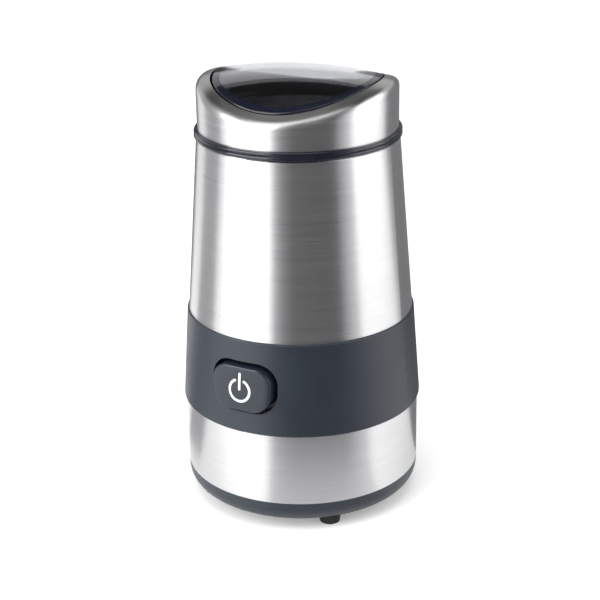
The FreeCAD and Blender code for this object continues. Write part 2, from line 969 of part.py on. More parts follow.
def shaft_seal():
    """A bush with a flange on the bowl's hill; the shaft turns in its bore."""
    bore = shaft_radius + running_gap
    radius = size("seal_radius")
    flange_top = hill_top + size("seal_flange_height")
    low = hill_top - size("seal_depth")
    return revolved("shaft_seal", [
        (bore, low),
        (radius, low),
        (radius, hill_top),
        (seal_flange(), hill_top),
        (seal_flange(), flange_top),
        (bore, flange_top),
    ])


# Motor: plate, stator, lower bracket, bearings and brushes

def bolt_spots():
    x = size("stack_width") / 2 - size("bolt_inset")
    y = size("stack_depth") / 2 - size("bolt_inset")
    return [(x, y), (-x, y), (-x, -y), (x, -y)]


def posts(name, low, height):
    return [cylinder(f"{name}_{index}", size("post_radius"), height, x, y, low)
            for index, (x, y) in enumerate(bolt_spots())]


def bolt_holes(name, low, height):
    radius = size("bolt_radius") + size("hole_clearance")
    return [cylinder(f"{name}_{index}", radius, height, x, y, low)
            for index, (x, y) in enumerate(bolt_spots())]


def boss_span():
    """Lower and upper end of the plate's bearing boss."""
    low = plate_under - size("plate_boss_drop")
    return low, plate_top + size("plate_boss_rise")


def motor_plate():
    """The disc that carries the motor: bearing boss, air holes and four stator posts."""
    low, high = boss_span()
    boss = size("plate_boss_radius")
    bore = size("bearing_radius") + seat_gap
    disc = housing_radius(plate_top) - wall - size("plate_clearance")
    body = revolved("plate_disc", [
        (bore, low),
        (boss, low),
        (boss, plate_under),
        (disc, plate_under),
        (disc, plate_top),
        (boss, plate_top),
        (boss, high),
        (bore, high),
    ])
    sketch = sketch_on(body, "XY_Plane", plate_top)
    circle(sketch, size("plate_hole_circle"), 0, size("plate_hole_radius"))
    repeat(body, pocket(body, sketch, size("plate_gauge") + 1), 6)
    height = plate_under - stack_top
    holes = bolt_holes("plate_bolt_hole", stack_top - 1, 0.5 * height)
    for index, angle in enumerate(mount_angles()):
        x, y = polar(size("mount_circle"), angle)
        holes.append(cylinder(f"plate_hole_{index}", screw_hole, size("plate_gauge") + 2,
                              x, y, plate_under - 1))
    rod_hole = size("rod_radius") + size("hole_clearance")
    holes.append(cylinder("plate_rod_hole", rod_hole, size("plate_gauge") + 2,
                          0, size("rod_circle"), plate_under - 1))
    solid = fuse("plate_and_posts", [body, *posts("post", stack_top, height + 1)])
    return cut("motor_plate", solid, holes)


def rubber_mounts():
    mounts = []
    for index, angle in enumerate(mount_angles()):
        x, y = polar(size("mount_circle"), angle)
        low = plate_under - size("mount_height")
        ring = cylinder(f"mount_ring_{index}", size("mount_radius"), size("mount_height"), x, y, low)
        hole = cylinder(f"mount_hole_{index}", screw_hole, size("mount_height"), x, y, low)
        mounts.append(cut(f"mount_{index}", ring, [hole]))
    return group("rubber_mounts", mounts)


def motor_screws():
    length = size("plate_gauge") + size("mount_height") + 0.7 * size("lug_height")
    screws = []
    for index, angle in enumerate(mount_angles()):
        x, y = polar(size("mount_circle"), angle)
        screws.append(screw(f"motor_screw_{index}", x, y, plate_top, length, up=False))
    return group("motor_screws", screws)


def bearing(name, low):
    bore = shaft_radius + running_gap
    return revolved(name, [
        (bore, low),
        (size("bearing_radius"), low),
        (size("bearing_radius"), low + size("bearing_length")),
        (bore, low + size("bearing_length")),
    ])


def upper_bearing():
    low, high = boss_span()
    return bearing("upper_bearing", (low + high - size("bearing_length")) / 2)


def bracket_boss():
    """Lower and upper end of the lower bracket's bearing boss."""
    middle = bracket_under + size("bracket_gauge") / 2
    reach = size("bearing_length") / 2 + 0.3
    return middle - reach, middle + reach


def lower_bearing():
    return bearing("lower_bearing", bracket_boss()[0] + 0.3)


def stator_core():
    """The laminated stack: a rounded block with its bore, coil windows and bolt holes."""
    body = new_body("stack_block")
    zero = 0 * size("stack_width")
    sketch = sketch_on(body, "XY_Plane", stack_under)
    rounded(sketch, zero, zero, size("stack_width"), size("stack_depth"), size("stack_corner"))
    pad(body, sketch, size("stack_height"))
    sketch = sketch_on(body, "XY_Plane", stack_top)
    circle(sketch, 0, 0, size("stator_bore"))
    pocket(body, sketch, size("stack_height") + 1)
    sketch = sketch_on(body, "XY_Plane", stack_top)
    height = size("window_outer") - size("window_inner")
    middle = (size("window_outer") + size("window_inner")) / 2
    rounded(sketch, zero, middle, size("window_width"), height, 0.04 * height)
    rounded(sketch, zero, -middle, size("window_width"), height, 0.04 * height)
    pocket(body, sketch, size("stack_height") + 1)
    holes = bolt_holes("stack_bolt_hole", stack_under - 1, size("stack_height") + 2)
    return cut("stator_core", body, holes)


def field_coils():
    """Two wound loops, each round one pole's neck, laid through the stack's windows."""
    coils = []
    clearance = size("coil_clearance")
    inner_half = size("window_inner") + clearance
    outer_half = size("window_outer") - clearance
    rise = size("coil_rise")
    middle = stack_under + size("stack_height") / 2
    zero = 0 * rise
    for side in (-1, 1):
        body = new_body(f"field_coil_{'left' if side < 0 else 'right'}")
        reach = size("window_width") / 2 - size("coil_end_gap")
        start = reach - size("coil_thickness") if side > 0 else -reach
        sketch = sketch_on(body, "YZ_Plane", start)
        rounded(sketch, zero, middle, 2 * outer_half,
                size("stack_height") + 2 * (rise + clearance), 0.9 * rise)
        rounded(sketch, zero, middle, 2 * inner_half,
                size("stack_height") + 2 * clearance, 0.1 * rise)
        pad(body, sketch, size("coil_thickness"))
        coils.append(body)
    return group("field_coils", coils)


def stator_bolts():
    bolts = []
    length = stack_top - bracket_under + 0.4 * (plate_under - stack_top)
    head_height = size("screw_head_height")
    for index, (x, y) in enumerate(bolt_spots()):
        shank = cylinder(f"bolt_shank_{index}", size("bolt_radius"), length, x, y, bracket_under)
        head = cylinder(f"bolt_head_{index}", size("post_radius") - 0.4, head_height,
                        x, y, bracket_under - head_height)
        bolts.append(fuse(f"stator_bolt_{index}", [shank, head]))
    return group("stator_bolts", bolts)


def brush_level():
    """Height of the brushes' middle, at the commutator's middle."""
    return stack_under - size("commutator_drop") - size("commutator_height") / 2


def holder_inner():
    return size("commutator_radius") + 3


def lower_motor_bracket():
    """Plate below the stator: four posts up to the stack, bearing boss and brush pedestals."""
    body = new_body("bracket_plate")
    zero = 0 * size("stack_width")
    sketch = sketch_on(body, "XY_Plane", bracket_under)
    rounded(sketch, zero, zero, size("stack_width"), size("stack_depth"), size("stack_corner"))
    pad(body, sketch, size("bracket_gauge"))
    sketch = sketch_on(body, "XY_Plane", bracket_top)
    hole_middle = size("stack_depth") / 2 - size("plate_hole_radius") - 2
    circle(sketch, 0, hole_middle, size("plate_hole_radius"))
    circle(sketch, 0, -hole_middle, size("plate_hole_radius"))
    pocket(body, sketch, size("bracket_gauge") + 1)
    low, high = bracket_boss()
    boss = cylinder("bracket_boss", size("plate_boss_radius"), high - low, 0, 0, low)
    bore = cylinder("bracket_bore", size("bearing_radius") + seat_gap, high - low + 2, 0, 0, low - 1)
    width = size("brush_width") + 2 * (size("brush_fit") + size("holder_wall"))
    holder_under = brush_level() - size("brush_height") / 2 - size("brush_fit") - size("holder_wall")
    inner = holder_inner() + 0.35 * size("holder_length")
    pedestals = [radial_block(f"pedestal_{angle}", (inner, inner + 0.5 * size("holder_length")),
                              width, (bracket_under, holder_under), angle) for angle in (0, 180)]
    solid = fuse("bracket_solid", [body, boss, *pedestals,
                                   *posts("bracket_post", bracket_under, stack_under - bracket_under)])
    holes = bolt_holes("bracket_bolt_hole", bracket_under - 1, stack_under - bracket_under + 2)
    return cut("lower_motor_bracket", solid, [bore, *holes])


def brush_holders():
    holders = []
    fit = size("brush_fit")
    width = size("brush_width") + 2 * fit
    height = size("brush_height") + 2 * fit
    holder_wall = size("holder_wall")
    level = brush_level()
    inner = holder_inner()
    outer = inner + size("holder_length")
    for angle in (0, 180):
        tube = radial_block(f"holder_tube_{angle}", (inner, outer), width + 2 * holder_wall,
                            (level - height / 2 - holder_wall, level + height / 2 + holder_wall), angle)
        channel = radial_block(f"holder_channel_{angle}", (inner - 1, outer - holder_wall), width,
                               (level - height / 2, level + height / 2), angle)
        holders.append(cut(f"brush_holder_{angle}", tube, [channel]))
    return group("brush_holders", holders)


def brush_span():
    inner = size("commutator_radius") + size("brush_gap")
    return inner, inner + size("brush_length")


def carbon_brushes():
    half = size("brush_height") / 2
    level = brush_level()
    return group("carbon_brushes", [
        radial_block(f"brush_{angle}", brush_span(), size("brush_width"),
                     (level - half, level + half), angle) for angle in (0, 180)])


def brush_springs():
    inner = brush_span()[1]
    outer = holder_inner() + size("holder_length") - size("holder_wall")
    spring = coil_spring("brush_spring_right", size("brush_spring_radius"), size("brush_wire") / 2,
                         outer - inner, 5, inner, 0, brush_level(), "+x")
    mirrored = doc.addObject("Part::Mirroring", "brush_spring_left")
    mirrored.Source = spring
    mirrored.Normal = Vector(1, 0, 0)
    return group("brush_springs", [spring, mirrored])


# Rotor: shaft, armature, commutator, fan and blade

def motor_shaft():
    thread = size("thread_radius")
    top = nut_top() - size("nut_dome")
    low = bracket_boss()[0] - size("shaft_tail")
    chamfer = 0.15 * shaft_radius
    return revolved("motor_shaft", [
        (0, low),
        (shaft_radius - chamfer, low),
        (shaft_radius, low + chamfer),
        (shaft_radius, shaft_shoulder),
        (thread, shaft_shoulder),
        (thread, top - chamfer),
        (thread - chamfer, top),
        (0, top),
    ])


def armature_core():
    """The laminated core with its round-bottomed winding slots."""
    radius = size("stator_bore") - size("core_gap")
    body = new_body("armature_core")
    sketch = sketch_on(body, "XY_Plane", stack_under)
    circle(sketch, 0, 0, radius)
    circle(sketch, 0, 0, shaft_radius + seat_gap)
    pad(body, sketch, size("stack_height"))
    sketch = sketch_on(body, "XY_Plane", stack_top)
    half = size("slot_width") / 2
    inner = radius - size("slot_depth")
    outer = radius + 1
    outline(sketch, [
        (inner, half),
        (inner, -half, 0.56 * size("slot_width")),
        (outer, -half),
        (outer, half),
    ])
    slot = pocket(body, sketch, size("stack_height") + 1)
    repeat(body, slot, size("slot_count"))
    return body


def armature_windings():
    """The end turns above and below the core."""
    bore = shaft_radius + seat_gap
    radius = size("winding_radius")
    height = size("winding_height")
    rings = []
    for name, near, far in (("winding_top", stack_top, stack_top + height),
                            ("winding_under", stack_under, stack_under - height)):
        turn = 0.5 * height if number(far) > number(near) else -0.5 * height
        corners = [(bore, near), (radius, near), (radius, far - turn),
                   (radius - 0.5 * height, far, turn), (bore, far)]
        rings.append(revolved(name, corners))
    return group("armature_windings", rings)


def commutator():
    radius = size("commutator_radius")
    bore = shaft_radius + seat_gap
    top = stack_under - size("commutator_drop")
    low = top - size("commutator_height")
    riser = 0.12 * size("commutator_height")
    body = revolved("commutator", [
        (bore, low),
        (radius, low),
        (radius, top - riser),
        (radius + riser, top - riser),
        (radius + riser, top),
        (bore, top),
    ])
    sketch = sketch_on(body, "XY_Plane", top)
    half = 0.03 * radius
    outline(sketch, [
        (radius - 2 * riser / 3, half),
        (radius - 2 * riser / 3, -half),
        (radius + 2 * riser, -half),
        (radius + 2 * riser, half),
    ])
    slot = pocket(body, sketch, size("commutator_height"))
    repeat(body, slot, size("slot_count"))
    return body


def cooling_fan():
    """A hub and back plate with upright blades, above the armature."""
    low = stack_top + size("fan_lift")
    top = low + size("fan_height")
    hub = size("fan_hub_radius")
    plate = 0.18 * size("fan_height")
    radius = size("fan_radius")
    body = revolved("cooling_fan", [
        (shaft_radius + seat_gap, low),
        (radius, low),
        (radius, low + plate),
        (hub, low + plate),
        (hub, top),
        (shaft_radius + seat_gap, top),
    ])
    sketch = sketch_on(body, "XY_Plane", low)
    rise = 0.5 * radius
    outline(sketch, [
        (hub + 1, -plate),
        (radius - 0.5, rise - plate, 1.1 * radius),
        (radius - 1, rise),
        (hub + 1, 0, -1.1 * radius),
    ])
    vane = pad(body, sketch, size("fan_height"))
    repeat(body, vane, size("fan_blades"))
    return body


def blade_level():
    return shaft_shoulder + size("blade_collar_height")


def blade_collar():
    bore = size("thread_radius") + seat_gap
    radius = size("blade_collar_radius")
    return revolved("blade_collar", [
        (bore, shaft_shoulder),
        (radius, shaft_shoulder),
        (radius, blade_level()),
        (bore, blade_level()),
    ])


def blade():
    """A stamped two-wing blade: flat at the hub, each wing twisted and raised to its tip."""
    body = new_body("blade")
    gauge_here = size("blade_gauge")
    width = size("blade_width")
    level = blade_level() + gauge_here / 2
    zero = 0 * width
    root_reach = 0.3 * size("blade_reach")
    sketch = sketch_on(body, "XY_Plane", blade_level())
    rounded(sketch, zero, zero, 2 * root_reach, width, 0.1 * width)
    circle(sketch, 0, 0, size("thread_radius") + seat_gap)
    pad(body, sketch, gauge_here)
    sections = []
    for share, wide, turn, rise in ((0.96 * root_reach, width, 0 * width, zero),
                                    (0.62 * size("blade_reach"), 0.95 * width,
                                     0.6 * size("blade_twist"), 0.35 * size("blade_tip_rise")),
                                    (size("blade_reach"), size("blade_tip_width"),
                                     size("blade_twist"), size("blade_tip_rise"))):
        section = sketch_on(body, "YZ_Plane", share)
        lift = level + rise
        section.AttachmentOffset = Placement(Vector(0, lift.number, share.number),
                                             Rotation(Vector(0, 0, 1), turn.number))
        section.setExpression("AttachmentOffset.Base.y", lift.text)
        outline(section, [
            (-wide / 2, -gauge_here / 2),
            (wide / 2, -0.2 * gauge_here),
            (wide / 2, 0.2 * gauge_here),
            (-wide / 2, gauge_here / 2),
        ])
        sections.append(section)
    wing = body.newObject("PartDesign::AdditiveLoft", "blade_wing")
    wing.Profile = sections[0]
    wing.Sections = sections[1:]
    wing.Ruled = True
    body.Tip = wing
    repeat(body, wing, 2)
    return body


def nut_top():
    return blade_level() + size("blade_gauge") + size("nut_height") + size("nut_dome")


def blade_nut():
    """A hexagon nut with a domed cap."""
    low = blade_level() + size("blade_gauge")
    bore = size("thread_radius") + seat_gap
    corner = size("nut_width") / math.sqrt(3)
    hexagon = doc.addObject("Part::Prism", "nut_hexagon")
    hexagon.Polygon = 6
    bind(hexagon, "Circumradius", corner)
    bind(hexagon, "Height", size("nut_height") + size("nut_dome"))
    place(hexagon, 0, 0, low)
    side = 0.8 * size("nut_height")
    crown = nut_top() - low - side
    dome = revolved("nut_form", [
        (0, low),
        (corner, low),
        (corner, low + side),
        (0, nut_top(), (corner * corner + crown * crown) / (2 * crown)),
    ])
    bore_height = size("nut_height") + 0.2
    hole = cylinder("nut_bore", bore, bore_height, 0, 0, low)
    return cut("blade_nut", common("nut_solid", hexagon, dome), [hole])


# Power button, its spring and switch. A reach is a distance from the axis towards the front.

def button_middle():
    return grip_low + size("grip_band_height") / 2


def button_outline(sketch, margin):
    """The button's outline, let out by a margin, which is below zero for its inside."""
    zero = 0 * margin
    rounded(sketch, zero, button_middle(), size("button_width") + 2 * margin,
            size("button_height") + 2 * margin, size("button_corner") + margin)


def lip_front():
    """Reach of the retaining lip's front, inside the curve of the grip band."""
    half = size("button_width") / 2 + size("button_gap") + size("button_lip")
    return root(grip_inner * grip_inner - half * half) - size("button_lip_gap")


def lip_back():
    return lip_front() - size("button_lip_wall")


def switch_plate_front():
    return lip_back() - size("button_travel") - size("switch_plate_drop")


def plunger_tip():
    return switch_plate_front() + 0.5 * size("switch_plate_drop")


def button_prism(name, margin, low, high):
    """The button's outline pushed out from one reach to another."""
    body = new_body(name)
    sketch = sketch_on(body, "XZ_Plane", low)
    button_outline(sketch, margin)
    pad(body, sketch, high - low)
    return body


def grip_form(name, offset):
    """A cone that follows the grip band's face at an offset."""
    return cone(name, grip_radius_low + offset, grip_radius_high + offset,
                size("grip_band_height"), 0, 0, grip_low)


def rounded_face(name, base, surface, radius):
    """Fillet the edges that bound the base's face of one kind of surface."""
    doc.recompute()
    face = next(face for face in base.Shape.Faces if isinstance(face.Surface, surface))
    fillet = doc.addObject("Part::Fillet", name)
    fillet.Base = base
    fillet.Edges = [(index, number(radius), number(radius))
                    for index, edge in enumerate(base.Shape.Edges, start=1)
                    if any(edge.isSame(border) for border in face.Edges)]
    return fillet


def power_button():
    """A hollow cap whose face follows the band, with a retaining lip and a centre post."""
    front = grip_radius_low + 2 * size("button_raise")
    wall_in = -size("button_wall")
    prism = button_prism("button_prism", 0 * size("button_gap"), lip_back(), front)
    face = common("button_block", prism, grip_form("button_face", size("button_raise")))
    cap = rounded_face("button_round", face, Part.Cone, size("button_edge"))
    lip = button_prism("button_lip_ring", size("button_gap") + size("button_lip"),
                       lip_back(), lip_front())
    hollow = common("button_hollow", button_prism("button_core", wall_in, lip_back() - 1, front),
                    grip_form("button_inner_face", size("button_raise") + wall_in))
    shell = cut("button_shell", fuse("button_cap", [cap, lip]), [hollow])
    post_end = plunger_tip() + size("switch_gap")
    post = cylinder("button_post", size("button_post_radius"), cap_inside() + 0.5 - post_end,
                    0, -post_end, button_middle(), "-y")
    return fuse("power_button", [shell, post])


def cap_inside():
    """Reach of the inner face of the cap at its middle."""
    middle = (grip_radius_low + grip_radius_high) / 2
    return middle + size("button_raise") - size("button_wall")


def button_spring():
    """The return spring between the switch plate and the inside of the cap."""
    radius = size("button_spring_radius")
    reach = radius + size("button_wire")
    end = root(cap_inside() * cap_inside() - reach * reach) - 4 * seat_gap
    start = switch_plate_front() + seat_gap
    return coil_spring("button_spring", radius, size("button_wire") / 2, end - start, 5,
                       0, -start, button_middle(), "-y")


def switch_bracket():
    """The plate behind the button: it spans the housing as a chord and carries the switch."""
    front = switch_plate_front()
    back = front - size("switch_plate_gauge")
    inside = core_radius - wall
    half = root(inside * inside - front * front) - 0.3
    height = size("switch_plate_height") / 2
    middle = button_middle()
    plate = block("switch_plate", (-half, half), (-front, -back), (middle - height, middle + height))
    hole = cylinder("switch_plate_hole", size("button_post_radius") + 0.5, front, 0, 0, middle, "-y")
    return cut("switch_bracket", plate, [hole])


def power_switch():
    front = switch_plate_front() - size("switch_plate_gauge") - seat_gap
    back = front - size("switch_depth")
    half_width = size("switch_width") / 2
    half_height = size("switch_height") / 2
    middle = button_middle()
    body = block("switch_body", (-half_width, half_width), (-front, -back),
                 (middle - half_height, middle + half_height))
    end = plunger_tip() - size("plunger_length") - size("button_travel") - 0.3
    bore = cylinder("switch_bore", size("plunger_radius") + running_gap, front, 0, -end, middle, "-y")
    legs = [block(f"switch_leg_{index}", (side * 0.6 * half_width - 0.4, side * 0.6 * half_width + 0.4),
                  (-back, -back + 2.2), (middle - 2, middle + 2))
            for index, side in enumerate((-1, 1))]
    return cut("power_switch", fuse("switch_and_legs", [body, *legs]), [bore])


def switch_plunger():
    return cylinder("switch_plunger", size("plunger_radius"), size("plunger_length"),
                    0, -(plunger_tip() - size("plunger_length")), button_middle(), "-y")


# Interlock: the lid's tab holds a sprung rod down on a second switch

def lock_top():
    return plate_under - size("lock_drop")


def interlock_switch():
    half = size("switch_width") / 2
    inside = housing_radius(lock_top()) - wall
    back = root(inside * inside - half * half) - 0.3
    low = lock_top() - size("lock_switch_height")
    body = block("lock_body", (-half, half), (back - size("lock_switch_depth"), back),
                 (low, lock_top()))
    button = cylinder("lock_button", size("lock_button_radius"), size("lock_button_height") + 1,
                      0, size("rod_circle"), lock_top() - 1)
    return fuse("interlock_switch", [body, button])


def interlock_rod():
    """The rod from the deck slot down to the interlock switch, with a collar for its spring."""
    y = size("rod_circle")
    low = lock_top() + size("lock_button_height") + size("rod_gap")
    top = deck_under - size("rod_gap")
    rod = cylinder("rod_bar", size("rod_radius"), top - low, 0, y, low)
    collar = cylinder("rod_collar", size("rod_flange_radius"), size("rod_flange_height"),
                      0, y, plate_top + size("rod_spring_height"))
    return fuse("interlock_rod", [rod, collar])


def interlock_spring():
    return coil_spring("interlock_spring", size("rod_spring_radius"), size("rod_wire") / 2,
                       size("rod_spring_height") - 2 * seat_gap, 6,
                       0, size("rod_circle"), plate_top + seat_gap)


# Lid: a smoked inner shell with its window and seat ring, in a steel sleeve with a swept lip

lid_under = shell_top + size("lid_seat_gap")
ring_top = lid_under + size("ring_height")
crown_top = ring_top + size("window_height")
liner_outer = size("lid_radius") - gauge - sleeve_gap
liner_inner = liner_outer - size("liner_wall")


def crown_form(name, drop):
    """A torus whose outside is the window's crown, let down by a drop; the lid's turn sets
    the direction of its stronger curve."""
    form = doc.addObject("Part::Torus", name)
    bind(form, "Radius1", size("crown_along") - size("crown_across"))
    bind(form, "Radius2", size("crown_across"))
    turn = Rotation(Vector(0, 0, 1), number(size("lid_turn"))) * TURNS["+y"]
    return place(form, 0, 0, crown_top - size("crown_along") - drop, turn)


def crowned(name, radius, drop, low):
    """A round block whose top is the crown, let down by a drop."""
    block_form = cylinder(f"{name}_round", radius, crown_top - low, 0, 0, low)
    return common(name, block_form, crown_form(f"{name}_crown", drop))


def seat_ring():
    """The double-ridged ring on which the lid stands, below the steel."""
    radius = size("ring_radius")
    groove = size("ring_groove")
    middle = (lid_under + ring_top) / 2
    half = size("ring_height") / 2
    bulge = 0.56 * half
    return revolved("seat_ring", [
        (liner_inner, lid_under),
        (radius - groove, lid_under),
        (radius, lid_under + 0.45 * half, bulge),
        (radius, middle - 0.45 * half),
        (radius - groove, middle, bulge),
        (radius, middle + 0.45 * half, bulge),
        (radius, ring_top - 0.45 * half),
        (radius - groove, ring_top, bulge),
        (liner_inner, ring_top),
    ])


def lid_window():
    drop = size("shoulder_drop")
    pane = size("window_wall")
    plug = rounded_face("window_plug", crowned("window_crown", size("window_radius"),
                                               0 * drop, lid_under), Part.Toroid, size("window_edge"))
    shoulder = crowned("liner_shoulder", liner_outer, drop, lid_under)
    hollow = crowned("liner_hollow", liner_inner, drop + pane, lid_under - 1)
    window_hollow = crowned("window_hollow", size("window_radius") - pane, pane, lid_under - 1)
    solid = fuse("liner_solid", [shoulder, plug, seat_ring()])
    inner, outer = tab_reach()
    half = size("tab_width") / 2
    tab = block("lid_tab", (-half, half), (inner, outer), (deck_under, lid_under + 2))
    shell = cut("liner_shell", solid, [hollow, window_hollow])
    return fuse("lid_window", [shell, tab])


def crown_height(x, y):
    """Height of the window's crown above a point, in the lid's own turn."""
    along, across = number(size("crown_along")), number(size("crown_across"))
    fall_along = along - math.sqrt(along ** 2 - x ** 2)
    fall_across = across - math.sqrt(across ** 2 - y ** 2)
    return number(crown_top) - fall_along - fall_across


def blend(corner, before, after, reach):
    """A curve that rounds a corner between two points; its handles are those of an arc."""
    start = corner + (before - corner).normalize() * reach
    end = corner + (after - corner).normalize() * reach
    half_turn = (math.pi - (before - corner).getAngle(after - corner)) / 2
    pull = 4 / 3 * math.tan(half_turn / 2) / math.tan(half_turn)
    curve = Part.BezierCurve()
    curve.setPoles([start, start + (corner - start) * pull, end + (corner - end) * pull, end])
    return curve


def lip_section(edge):
    """The sheet's section at the rim: wall, round corner and the lip that rises inwards."""
    sheet_wall = number(gauge)
    lid_radius, lip_inner = number(size("lid_radius")), number(size("lip_inner"))
    rise = number(size("lip_rise"))
    depth = number(crown_top - ring_top) + rise
    reach = number(size("lip_corner"))

    def spot(radius, height):
        return Vector(radius, 0, edge + height)

    slope = rise / (lid_radius - lip_inner)
    sink = sheet_wall * math.sqrt(1 + slope ** 2)
    outer = [spot(lid_radius, -depth), spot(lid_radius, 0), spot(lip_inner, rise)]
    inner_corner = sheet_wall * slope - sink
    inner = [spot(lip_inner, rise - sink), spot(lid_radius - sheet_wall, inner_corner),
             spot(lid_radius - sheet_wall, -depth)]
    outer_round = blend(outer[1], outer[0], outer[2], reach)
    edges = [
        Part.LineSegment(outer[0], outer_round.StartPoint),
        outer_round,
        Part.LineSegment(outer_round.EndPoint, outer[2]),
        Part.LineSegment(outer[2], inner[0]),
        Part.LineSegment(inner[0], inner[1]),
        Part.LineSegment(inner[1], inner[2]),
        Part.LineSegment(inner[2], outer[0]),
    ]
    return Part.Wire([edge.toShape() for edge in edges])


def lid_steel_shell():
    """The lid's steel sleeve. Its section is swept along the rim, which rises and falls with
    the window's crown, and the sleeve's foot is cut level above the seat ring."""
    radius, inner = number(size("lid_radius")), number(size("lip_inner"))
    steps = 24
    rim = []
    for step in range(steps):
        angle = 2 * math.pi * step / steps
        x, y = math.cos(angle), math.sin(angle)
        height = crown_height(inner * x, inner * y) - number(size("lip_rise"))
        rim.append(Vector(radius * x, radius * y, height))
    curve = Part.BSplineCurve()
    curve.interpolate(Points=rim, PeriodicFlag=True)
    sweep = Part.BRepOffsetAPI.MakePipeShell(Part.Wire([curve.toShape()]))
    sweep.setBiNormalMode(Vector(0, 0, 1))
    sweep.add(lip_section(rim[0].z), False, False)
    sweep.build()
    sweep.makeSolid()
    foot = number(ring_top + size("lid_seat_gap"))
    above = Part.makeCylinder(2 * radius, 2 * number(size("window_height")), Vector(0, 0, foot))
    sleeve = sweep.shape().common(above)
    sleeve.rotate(Vector(0, 0, 0), Vector(0, 0, 1), number(size("lid_turn")))
    shell = doc.addObject("Part::Feature", "lid_steel_shell")
    shell.Shape = sleeve
    return shell


# Each entry makes one sub-part, whose label is its node and its file's name
PARTS = [
    base_cover,
    rubber_feet,
    base_screws,
    cord_gland,
    terminal_block,
    lower_steel_band,
    grip_band,
    upper_steel_shell,
    main_housing,
    upper_housing,
    bowl_collar,
    grinding_bowl,
    bowl_gasket,
    shaft_seal,
    motor_plate,
    rubber_mounts,
    motor_screws,
    upper_bearing,
    stator_core,
    field_coils,
    stator_bolts,
    lower_motor_bracket,
    lower_bearing,
    brush_holders,
    carbon_brushes,
    brush_springs,
    motor_shaft,
    armature_core,
    armature_windings,
    commutator,
    cooling_fan,
    blade_collar,
    blade,
    blade_nut,
    power_button,
    button_spring,
    switch_bracket,
    power_switch,
    switch_plunger,
    interlock_switch,
    interlock_rod,
    interlock_spring,
    lid_window,
    lid_steel_shell,
]

subparts = [make() for make in PARTS]
doc.recompute()

for thing in doc.Objects:
    if "Invalid" in thing.State or "Error" in thing.State:
        raise RuntimeError(f"{thing.Label} did not compute: {thing.State}")
os.makedirs("parts", exist_ok=True)
for subpart in subparts:
    shape = subpart.Shape
    if shape.isNull() or not shape.isValid():
        raise RuntimeError(f"{subpart.Label} has no valid solid")
    shape.exportStep(f"parts/{subpart.Label}.step")
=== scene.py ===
import json
import math
import bmesh
import bpy
from mathutils import Matrix, Vector
from mathutils.bvhtree import BVHTree

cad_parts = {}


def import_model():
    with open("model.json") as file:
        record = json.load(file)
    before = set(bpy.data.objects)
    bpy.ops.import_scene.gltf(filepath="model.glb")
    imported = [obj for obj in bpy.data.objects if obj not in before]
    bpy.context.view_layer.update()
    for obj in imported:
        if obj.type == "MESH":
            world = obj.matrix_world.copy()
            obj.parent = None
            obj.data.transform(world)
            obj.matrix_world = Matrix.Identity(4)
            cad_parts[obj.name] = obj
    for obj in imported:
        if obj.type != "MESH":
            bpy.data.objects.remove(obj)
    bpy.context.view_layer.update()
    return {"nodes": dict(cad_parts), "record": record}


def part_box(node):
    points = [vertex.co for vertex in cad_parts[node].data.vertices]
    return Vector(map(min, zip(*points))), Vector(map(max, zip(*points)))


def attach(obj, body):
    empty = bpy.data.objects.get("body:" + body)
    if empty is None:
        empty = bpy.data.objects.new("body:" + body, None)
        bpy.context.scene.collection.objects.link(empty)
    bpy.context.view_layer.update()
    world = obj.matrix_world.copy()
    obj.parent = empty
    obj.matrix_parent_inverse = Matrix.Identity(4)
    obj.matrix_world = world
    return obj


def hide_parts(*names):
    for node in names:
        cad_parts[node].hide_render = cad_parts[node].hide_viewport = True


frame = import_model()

MM = 0.001
SHARP_ANGLE = math.radians(32)

# The camera, fitted to the photograph's rims and outline
CAMERA_AZIMUTH = math.radians(29.2)
CAMERA_ELEVATION = math.radians(21.38)
CAMERA_ROLL = math.radians(-0.87)
CAMERA_DISTANCE = 652.9 * MM
CAMERA_LENS = 90.0
CAMERA_SENSOR = 36.0
CAMERA_CLIP = 10 * MM
TARGET_ASIDE = -0.3 * MM
TARGET_HEIGHT = 86.42 * MM


def ahead(azimuth, elevation):
    """The way a camera looks from an azimuth and an elevation."""
    flat = math.cos(elevation)
    return Vector((-math.sin(azimuth) * flat, math.cos(azimuth) * flat, -math.sin(elevation)))


def standpoint(azimuth, distance, height):
    """A point round the object, at a camera azimuth in degrees."""
    turn = math.radians(azimuth)
    return Vector((math.sin(turn) * distance, -math.cos(turn) * distance, height))


def make_camera():
    """The camera, turned by its roll about the way it looks."""
    forward = ahead(CAMERA_AZIMUTH, CAMERA_ELEVATION)
    right = Vector((math.cos(CAMERA_AZIMUTH), math.sin(CAMERA_AZIMUTH), 0))
    up = right.cross(forward)
    tilt, level = math.sin(CAMERA_ROLL), math.cos(CAMERA_ROLL)
    rolled_right = right * level + up * tilt
    rolled_up = up * level - right * tilt
    target = right * TARGET_ASIDE + Vector((0, 0, TARGET_HEIGHT))
    data = bpy.data.cameras.new("camera")
    data.sensor_width = CAMERA_SENSOR
    data.lens = CAMERA_LENS
    data.clip_start = CAMERA_CLIP
    camera = bpy.data.objects.new("camera", data)
    bpy.context.scene.collection.objects.link(camera)
    turn = Matrix((rolled_right, rolled_up, -forward)).transposed()
    camera.matrix_world = Matrix.Translation(target - forward * CAMERA_DISTANCE) @ turn.to_4x4()
    bpy.context.scene.camera = camera


